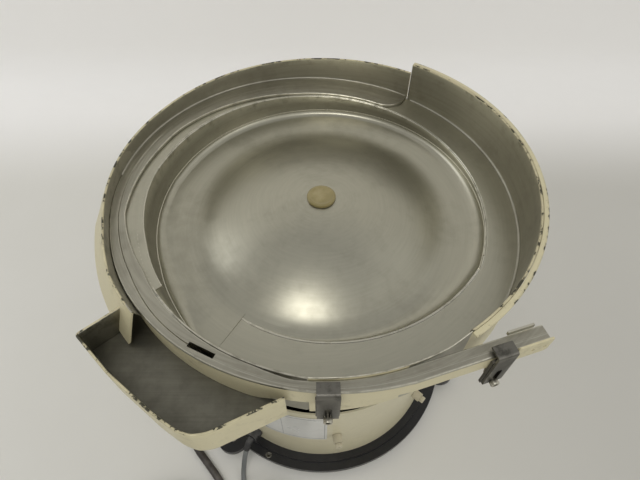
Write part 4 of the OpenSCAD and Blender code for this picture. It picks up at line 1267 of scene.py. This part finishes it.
@dataclass
class Cord:
    """A free cord with its coil, strain relief and plug.

    Args:
        name: start of its pieces' names.
        finish: its jacket.
        diameter: in millimetres.
        route: its visible route, in millimetres, as in the part's source.
        centre: plan centre of its coil.
        mean: radius at the middle of the coil's turns.
        side: 1 where it winds clockwise from the coil's right, -1 where it is mirrored.
        length: its real length, in metres; not used.
        rise: height of its plug's axis above the coil's top, in millimetres.
        start: how far along the chord the plug begins.
        boot_length: length of its strain relief, in millimetres.
    """

    name: str
    finish: Finish
    diameter: float
    route: Sequence[Point]
    centre: tuple[float, float]
    mean: float
    side: int
    length: float
    rise: float
    start: float
    stiffness: str
    boot_length: float

    def coil(self) -> list[Vector]:
        """Points of the coil, from its tangent point to the plug."""
        d = self.diameter
        outer, inner = self.mean + d / 2, self.mean - d / 2
        # Degrees turned, radius and height
        plan = [
            (0, outer, d / 2), (290, outer, d / 2), (340, inner, d / 2),
            (600, inner, d / 2), (655, inner, 1.5 * d), (910, inner, 1.5 * d),
            (960, outer, 1.5 * d), (1040, outer, 1.5 * d), (1105, outer, 2.5 * d),
        ]
        points = []
        for (a0, r0, z0), (a1, r1, z1) in zip(plan, plan[1:]):
            for a in steps(a0, a1, 6)[:-1]:
                t = ease(a, a0, a1)
                t = t * t * (3 - 2 * t)
                turn = math.radians(-a)
                r, z = mixed(r0, r1, t), mixed(z0, z1, t)
                x, y = self.side * r * math.cos(turn), r * math.sin(turn)
                points.append(Vector((self.centre[0] + x, self.centre[1] + y, z)))
        end = self.plug_base()
        points.append(end + Vector((self.side * self.start * 0.9, 0.0, -self.rise * 0.25)))
        points.append(end)
        return points

    def plug_base(self) -> Vector:
        """Where the cord enters the plug."""
        x = self.centre[0] + self.side * self.start
        return Vector((x, self.centre[1] - self.mean + 2, 2 * self.diameter + self.rise + 0.3))

    def line(self) -> list[Vector]:
        """The whole centreline, smoothed, in millimetres."""
        route = [Vector(p) for p in self.route]
        coil = self.coil()
        raw = [*route, (route[-1] + coil[0]) / 2, *coil]
        made = []
        for i in range(len(raw) - 1):
            p0, p1, p2, p3 = raw[max(0, i - 1)], raw[i], raw[i + 1], raw[min(len(raw) - 1, i + 2)]
            slope, curve, twist = p2 - p0, 2 * p0 - 5 * p1 + 4 * p2 - p3, 3 * p1 - p0 - 3 * p2 + p3
            for t in (0.0, 0.5):
                made.append(0.5 * ((2 * p1) + slope * t + curve * t * t + twist * t ** 3))
        made.append(raw[-1])
        for p in made:
            p.z = max(p.z, self.diameter / 2)
        return made

    def curve(self) -> bpy.types.Object:
        """The cord itself."""
        line = self.line()
        data = bpy.data.curves.new(self.name + "_cord", "CURVE")
        data.dimensions = "3D"
        data.bevel_depth = self.diameter / 2 * MM
        data.bevel_resolution = 5
        data.use_fill_caps = True
        spline = data.splines.new("POLY")
        spline.points.add(len(line) - 1)
        for point, p in zip(spline.points, line):
            point.co = (*(p * MM), 1.0)
        spline.use_smooth = True
        data.materials.append(self.finish.material())
        made = bpy.data.objects.new(self.name + "_cord", data)
        bpy.context.scene.collection.objects.link(made)
        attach(made, "drive_base")
        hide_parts(self.name + "_lead", self.name + "_coil")
        total = sum((b - a).length for a, b in zip(line, line[1:])) * MM
        log.info("%s cord is %.3f m long", self.name, total)
        return made

    def boot(self) -> None:
        """The tapered strain relief that grips the cord where it leaves the housing."""
        line, radius, length = self.line(), self.diameter / 2, self.boot_length
        places, walked, pace = [], 0.0, 0.8
        for here, there in zip(line, line[1:]):
            gap = (there - here).length
            while len(places) * pace <= walked + gap and len(places) * pace <= length:
                places.append(here.lerp(there, (len(places) * pace - walked) / gap))
            walked += gap
        rings, sides = [], 32
        turns = [math.tau * j / sides for j in reversed(range(sides))]
        for k, here in enumerate(places):
            run = (places[min(k + 1, len(places) - 1)] - places[max(0, k - 1)]).normalized()
            reach = radius * mixed(1.42, 1.12, k / len(places)) - (0.45 if k > 3 and k % 4 == 3 else 0.0)
            side = run.cross(Vector((0, 0, 1))).normalized()
            up = side.cross(run)
            rings.append([here + (side * math.cos(q) + up * math.sin(q)) * reach for q in turns])
        Solid(self.name + "_boot", "drive_base", [Palette.plastic], sharp=70).rings(rings).build()

    def plug(self, profile: Profile, pins: Profile) -> bpy.types.Object:
        """The plug.

        Args:
            profile: radius and height of its rings, from the cord's end on.
            pins: the radius and the sideways place of each pin.
        """
        name, finishes = self.name + "_plug", [Palette.plastic, Palette.zinc]
        solid = Solid(name + "_body", "drive_base", finishes, [name], sharp=28)
        axis = Vector((-self.side, 0, 0))
        base = self.plug_base()
        solid.rings(turned([(r, h, Outline.ROUND) for r, h in profile], base, axis), caps=False)
        end = max(h for _, h in profile) if pins else 0.0
        for radius, offset in pins:
            pin = [(radius, end - 2), (radius, end + 13), (radius * 0.7, end + 15.5), (0.05, end + 16)]
            start = len(solid.faces)
            rings = turned([(r, h, Outline.ROUND) for r, h in pin], base + Vector((0, offset, 0)), axis, 24)
            solid.rings(rings, caps=False)
            solid.slots[start:] = [1] * (len(solid.faces) - start)
        return solid.build()


class Cords:
    """The power lead and the control lead."""

    power = Cord(
        "power", Palette.dark_jacket, 12.0,
        (
            (-184.2, -102.1, 60), (-193, -107, 59), (-202, -112, 54), (-211, -118, 42), (-219, -124, 27),
            (-225, -131, 14), (-228, -140, 7), (-227, -151, 6), (-222, -162, 6), (-214, -174, 6),
            (-205, -186, 6), (-195, -197, 6), (-185, -208, 6), (-175, -219, 6), (-166, -230, 6),
            (-158, -241, 6), (-152, -252, 6), (-150, -262, 6), (-150, -272.4, 6),
        ),
        (-220, -314), 64.0, 1, 1.62, 14.0, 15.0, "medium", 27.0,
    )
    control = Cord(
        "control", Palette.grey_jacket, 8.0,
        (
            (-111.5, -178.4, 60), (-115, -184, 59), (-118, -190, 54), (-121, -197, 44), (-124, -205, 32),
            (-126, -213, 18), (-127, -221, 8), (-126, -230, 4), (-123, -240, 4), (-119, -249, 4),
            (-118, -258.9, 4),
        ),
        (-70, -287), 44.0, -1, 1.05, 9.0, 10.0, "limp", 21.0,
    )

    def build(self) -> None:
        power_plug = [(6.1, 0), (7.6, 0.3)]
        for h in range(0, 18, 3):
            power_plug += [(7.9, h + 1.5), (7.9, h + 3), (6.9, h + 3.3), (6.9, h + 4.2)]
        power_plug += [(9, 20.5), (12.6, 22.5), (14, 26), (14, 38), (13.2, 39), (13.2, 44), (14, 45)]
        power_plug += [(14, 58.5), (13, 60), (0.05, 60)]
        control_plug = [(4.1, 0), (5.4, 0.3), (5.9, 6), (5.9, 13), (8.2, 13.4), (9, 14.5)]
        for h in range(16, 28, 3):
            control_plug += [(9, h), (9, h + 1.6), (8.5, h + 1.9), (8.5, h + 2.7)]
        control_plug += [(8.7, 31), (8.7, 38.4), (8.1, 39), (7.3, 39), (7.3, 31.5), (0.05, 31.5)]
        for cord, profile, pins in (
            (self.power, power_plug, ((2.4, -9.5), (2.4, 9.5))),
            (self.control, control_plug, ()),
        ):
            made = cord.curve()
            cord.boot()
            plug = cord.plug(profile, pins)


@dataclass
class Drive:
    """Base, casing, springs and magnet: mostly the frame's own solids, refinished."""

    # Finish and bevel, in millimetres, of each solid that stays the frame's own
    dressed: Mapping[str, tuple[Finish, float]] = field(default_factory=lambda: {
        "base_plate": (Palette.black, 1.6), "casing": (Palette.casing, 0.5),
        "top_plate": (Palette.black, 1.2),
        "magnet_bracket": (Palette.dark, 0.8), "magnet_core": (Palette.lamination, 0.5),
        "magnet_coil": (Palette.copper, 2.0), "armature": (Palette.lamination, 0.8),
        "lower_spring_blocks": (Palette.black, 1.0), "upper_spring_blocks": (Palette.black, 1.0),
        "lower_clamp_plates": (Palette.dark, 0.8), "upper_clamp_plates": (Palette.dark, 0.8),
        "lower_spring_bolts": (Palette.zinc, 0.6), "upper_spring_bolts": (Palette.zinc, 0.6),
        "leaf_springs": (Palette.spring, 0.3), "leaf_spacers": (Palette.zinc, 0.3),
        # The shell's flange takes the blackened finish as painted shade, for the shade under the bowl
        "shell_flange": (Palette.dark, 0.6), "bowl_shell": (Palette.sheet, 0.4),
        "centre_tube": (Palette.sheet, 0.6), "wall_ribs": (Palette.sheet, 0.3),
        "casing_hoop": (Palette.dark, 0.6), "centre_bolt": (Palette.zinc, 0.6),
        "casing_spacers": (Palette.white, 0.8), "power_gland": (Palette.plastic, 0.8),
        "control_gland": (Palette.plastic, 0.8), "data_plate": (Palette.label, 0.2),
    })

    def refinish(self) -> None:
        """Gives the frame's own solids their finishes and rounded edges."""
        for name, (finish, bevel) in self.dressed.items():
            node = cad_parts[name]
            node.data.materials.clear()
            node.data.materials.append(finish.material())
            node.data.polygons.foreach_set("use_smooth", [True] * len(node.data.polygons))
            node.data.set_sharp_from_angle(angle=math.radians(30))
            rounded(node, bevel)
            log.info("refinished %s", name)

    def feet(self) -> None:
        """Rubber feet with ribs, their bolts, and the screws in the rim."""
        feet = Solid("foot_pads", "drive_base", [Palette.rubber], ["rubber_feet"], sharp=30)
        bolts = Solid("foot_socket_bolts", "drive_base", [Palette.zinc], ["foot_bolts"], sharp=30)
        screws = Solid("rim_screws", "drive_base", [Palette.dark], ["base_screws"], sharp=30)
        up, round_ = Vector((0, 0, 1)), Outline.ROUND
        pad = [(3.4, 6), (3.4, 0.4), (3.9, 0), (20.5, 0), (21.6, 0.5), (22, 1.5)]
        # Two grooves round the pad
        for z in (2.6, 5.2):
            pad += [(22, z), (21.2, z + 0.4), (21.2, z + 1), (22, z + 1.4)]
        pad += [(22, 7.6), (21.5, 8), (0.05, 8), (0.05, 6)]
        washer = [(4.4, 0.02), (8.6, 0.02), (8.6, 1.3), (8.2, 1.6), (6.4, 1.6)]
        for k in range(3):
            here = polar(222, -132 + 120 * k, 0)
            feet.rings(turned([(r, z, round_) for r, z in pad], here, up, 60), closed=True)
            Fasteners.screw(bolts, here + Vector((0, 0, 20.3)), up, 6.5, 8.0, 4.0, 11.9)
            ring = turned([(r, z, round_) for r, z in washer], here + Vector((0, 0, 20)), up)
            bolts.rings(ring, caps=False)
            Fasteners.screw(screws, polar(212.5, -114 + 120 * k, 19.3), up, 5.0, 1.0, 4.4, 4.9)
        for solid in (feet, bolts, screws):
            solid.build()

    def casing_screws(self) -> None:
        """Screws round the casing, and those of the flange."""
        screws = Solid("casing_socket_screws", "drive_base", [Palette.white], ["casing_screws"], sharp=30)
        for k in range(4):
            for side in (-1, 1):
                a = -62.5 + 90 * k + side * 20.5
                out = polar(1, a, 0)
                Fasteners.screw(screws, polar(206.6, a, 130), out, 5.0, 6.0, 3.0, 25.0)
        screws.build()
        flange = Solid("flange_socket_screws", "bowl", [Palette.zinc], ["flange_screws"], sharp=30)
        for k in range(6):
            Fasteners.screw(flange, polar(168, 60 * k, 252.3), Vector((0, 0, 1)), 5.0, 5.0, 3.0, 13.0)
        flange.build()

    def cap(self) -> None:
        """The plastic cap over the centre bolt."""
        z = SHAPE.dome(16) + 0.3
        profile = [
            (15.0, -8), (15.7, -7), (15.7, 0), (17.0, 0), (17.5, 0.5), (17.5, 2.2), (17.1, 3.2), (16.0, 3.85),
            (14.6, 4), (13.6, 3.8), (12.8, 3.4), (9, 3.3), (4, 3.35), (0.05, 3.4), (0.05, -8),
        ]
        cover = Solid("cap_cover", "cap", [Palette.cap], ["centre_cap"], sharp=30)
        lathe(cover, [(r, z + height) for r, height in profile], 72).build()

    def build(self) -> None:
        """Builds the drive's pieces."""
        self.refinish()
        self.feet()
        self.casing_screws()
        self.cap()


@dataclass
class Studio:
    """Camera, light, floor and backdrop.

    Args:
        eye: the camera's place, in metres.
        gaze: its direction.
        lens: focal length on a 36 mm frame.
    """

    eye: Point = (-0.0016, -0.3942, 0.8667)
    gaze: Point = (0.0, 0.607, -0.794)
    lens: float = 27.0

    def camera(self) -> None:
        """The camera at the photograph's viewing angle."""
        data = bpy.data.cameras.new("camera")
        data.lens, data.sensor_width, data.clip_start, data.clip_end = self.lens, 36.0, 0.01, 50.0
        made = bpy.data.objects.new("camera", data)
        back = -Vector(self.gaze).normalized()
        right = Vector((1, 0, 0))
        up = back.cross(right)
        turned_to = Matrix((right, up, back)).transposed().to_4x4()
        made.matrix_world = Matrix.Translation(Vector(self.eye)) @ turned_to
        bpy.context.scene.collection.objects.link(made)
        bpy.context.scene.camera = made

    def lamp(
        self, name: str, place: Point, target: Point, size: tuple[float, float], power: float, tint: Colour
    ) -> None:
        """Adds a soft rectangular lamp that faces a target."""
        data = bpy.data.lights.new(name, "AREA")
        data.shape, data.energy, data.color = "RECTANGLE", power, tint
        data.size, data.size_y = size
        made = bpy.data.objects.new(name, data)
        made.location = place
        made.rotation_euler = (Vector(target) - Vector(place)).to_track_quat("-Z", "Y").to_euler()
        bpy.context.scene.collection.objects.link(made)

    def backdrop(self) -> None:
        """A pale floor that curves up into a wall."""
        depth, bend = 0.75, 0.12
        turns = [math.radians(q) for q in range(0, 91, 10)]
        curve = [(depth + bend * math.sin(q), bend - bend * math.cos(q)) for q in turns]
        rows = [(-3.0, 0.0), *curve, (depth + bend, 2.6)]
        mesh = bpy.data.meshes.new("backdrop")
        points = [(x, y, z - 0.0002) for y, z in rows for x in (-3.0, 3.0)]
        mesh.from_pydata(points, [], [(2 * k, 2 * k + 1, 2 * k + 3, 2 * k + 2) for k in range(len(rows) - 1)])
        mesh.polygons.foreach_set("use_smooth", [True] * len(mesh.polygons))
        made = bpy.data.objects.new("backdrop", mesh)
        material = bpy.data.materials.new("backdrop")
        material.use_nodes = True
        graph = Graph(material.node_tree)
        place = graph.position()
        base = graph.blend(graph.noise(place, 3.0, 3.0), (0.72, 0.71, 0.66), (0.78, 0.77, 0.73))
        across, back = (graph.add("SeparateXYZ", {0: place}, axis) for axis in "XY")
        # Darker towards +X: a painted shade across the floor
        base = graph.blend(graph.span(across, 0.0, 0.6) * 0.75, base, (0.56, 0.55, 0.51))
        base = graph.blend(graph.span(back, 0.40, 0.75), base, (0.99, 0.98, 0.965))
        surface = graph.add("BsdfPrincipled", {"Base Color": base, "Roughness": 0.6}, "BSDF")
        graph.finish("OutputMaterial", surface)
        mesh.materials.append(material)
        bpy.context.scene.collection.objects.link(made)

    def world(self) -> None:
        """A white room, as the camera sees it, and one with darker sides, as metal reflects it."""
        world = bpy.data.worlds.new("room")
        world.use_nodes = True
        bpy.context.scene.world = world
        graph = Graph(world.node_tree)
        way = graph.add("TexCoord", output="Generated")
        z = graph.add("SeparateXYZ", {0: way}, "Z")
        x = graph.add("SeparateXYZ", {0: way}, "X")
        room = graph.blend(graph.span(x, -0.9, 0.9), (0.40, 0.395, 0.38), (0.74, 0.735, 0.715))
        room = graph.blend(graph.span(z, 0.78, 0.97), room, (0.46, 0.46, 0.455))
        seen = graph.add("LightPath", output="Is Camera Ray")
        colour = graph.blend(seen, room, (0.96, 0.955, 0.945))
        light = graph.add("Background", {"Color": colour, "Strength": 1.0}, 0)
        graph.finish("OutputWorld", light)

    def build(self) -> None:
        """Builds the studio."""
        self.camera()
        self.backdrop()
        self.world()
        self.lamp("ceiling", (-0.30, -1.05, 2.2), (0, 0, 0.4), (0.8, 0.5), 8.0, (1.0, 0.985, 0.95))
        self.lamp("left_window", (-2.2, 0.5, 1.6), (0, 0, 0.4), (1.2, 1.4), 9.0, (0.97, 0.98, 1.0))
        self.lamp("right_fill", (1.8, -1.2, 1.3), (0, 0, 0.3), (1.0, 1.0), 3.0, (1.0, 0.99, 0.97))
        scene = bpy.context.scene
        scene.view_settings.view_transform = "Standard"
        scene.view_settings.look = "None"
        scene.view_settings.exposure = 0.0


def main() -> None:
    """Builds the scene."""
    logging.basicConfig(level=logging.INFO, format="%(name)s: %(message)s")
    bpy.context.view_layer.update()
    Studio().build()
    Cords().build()
    Bowl().build()
    Tray().build()
    Discharge().build()
    Drive().build()


if __name__ == "__main__":
    main()
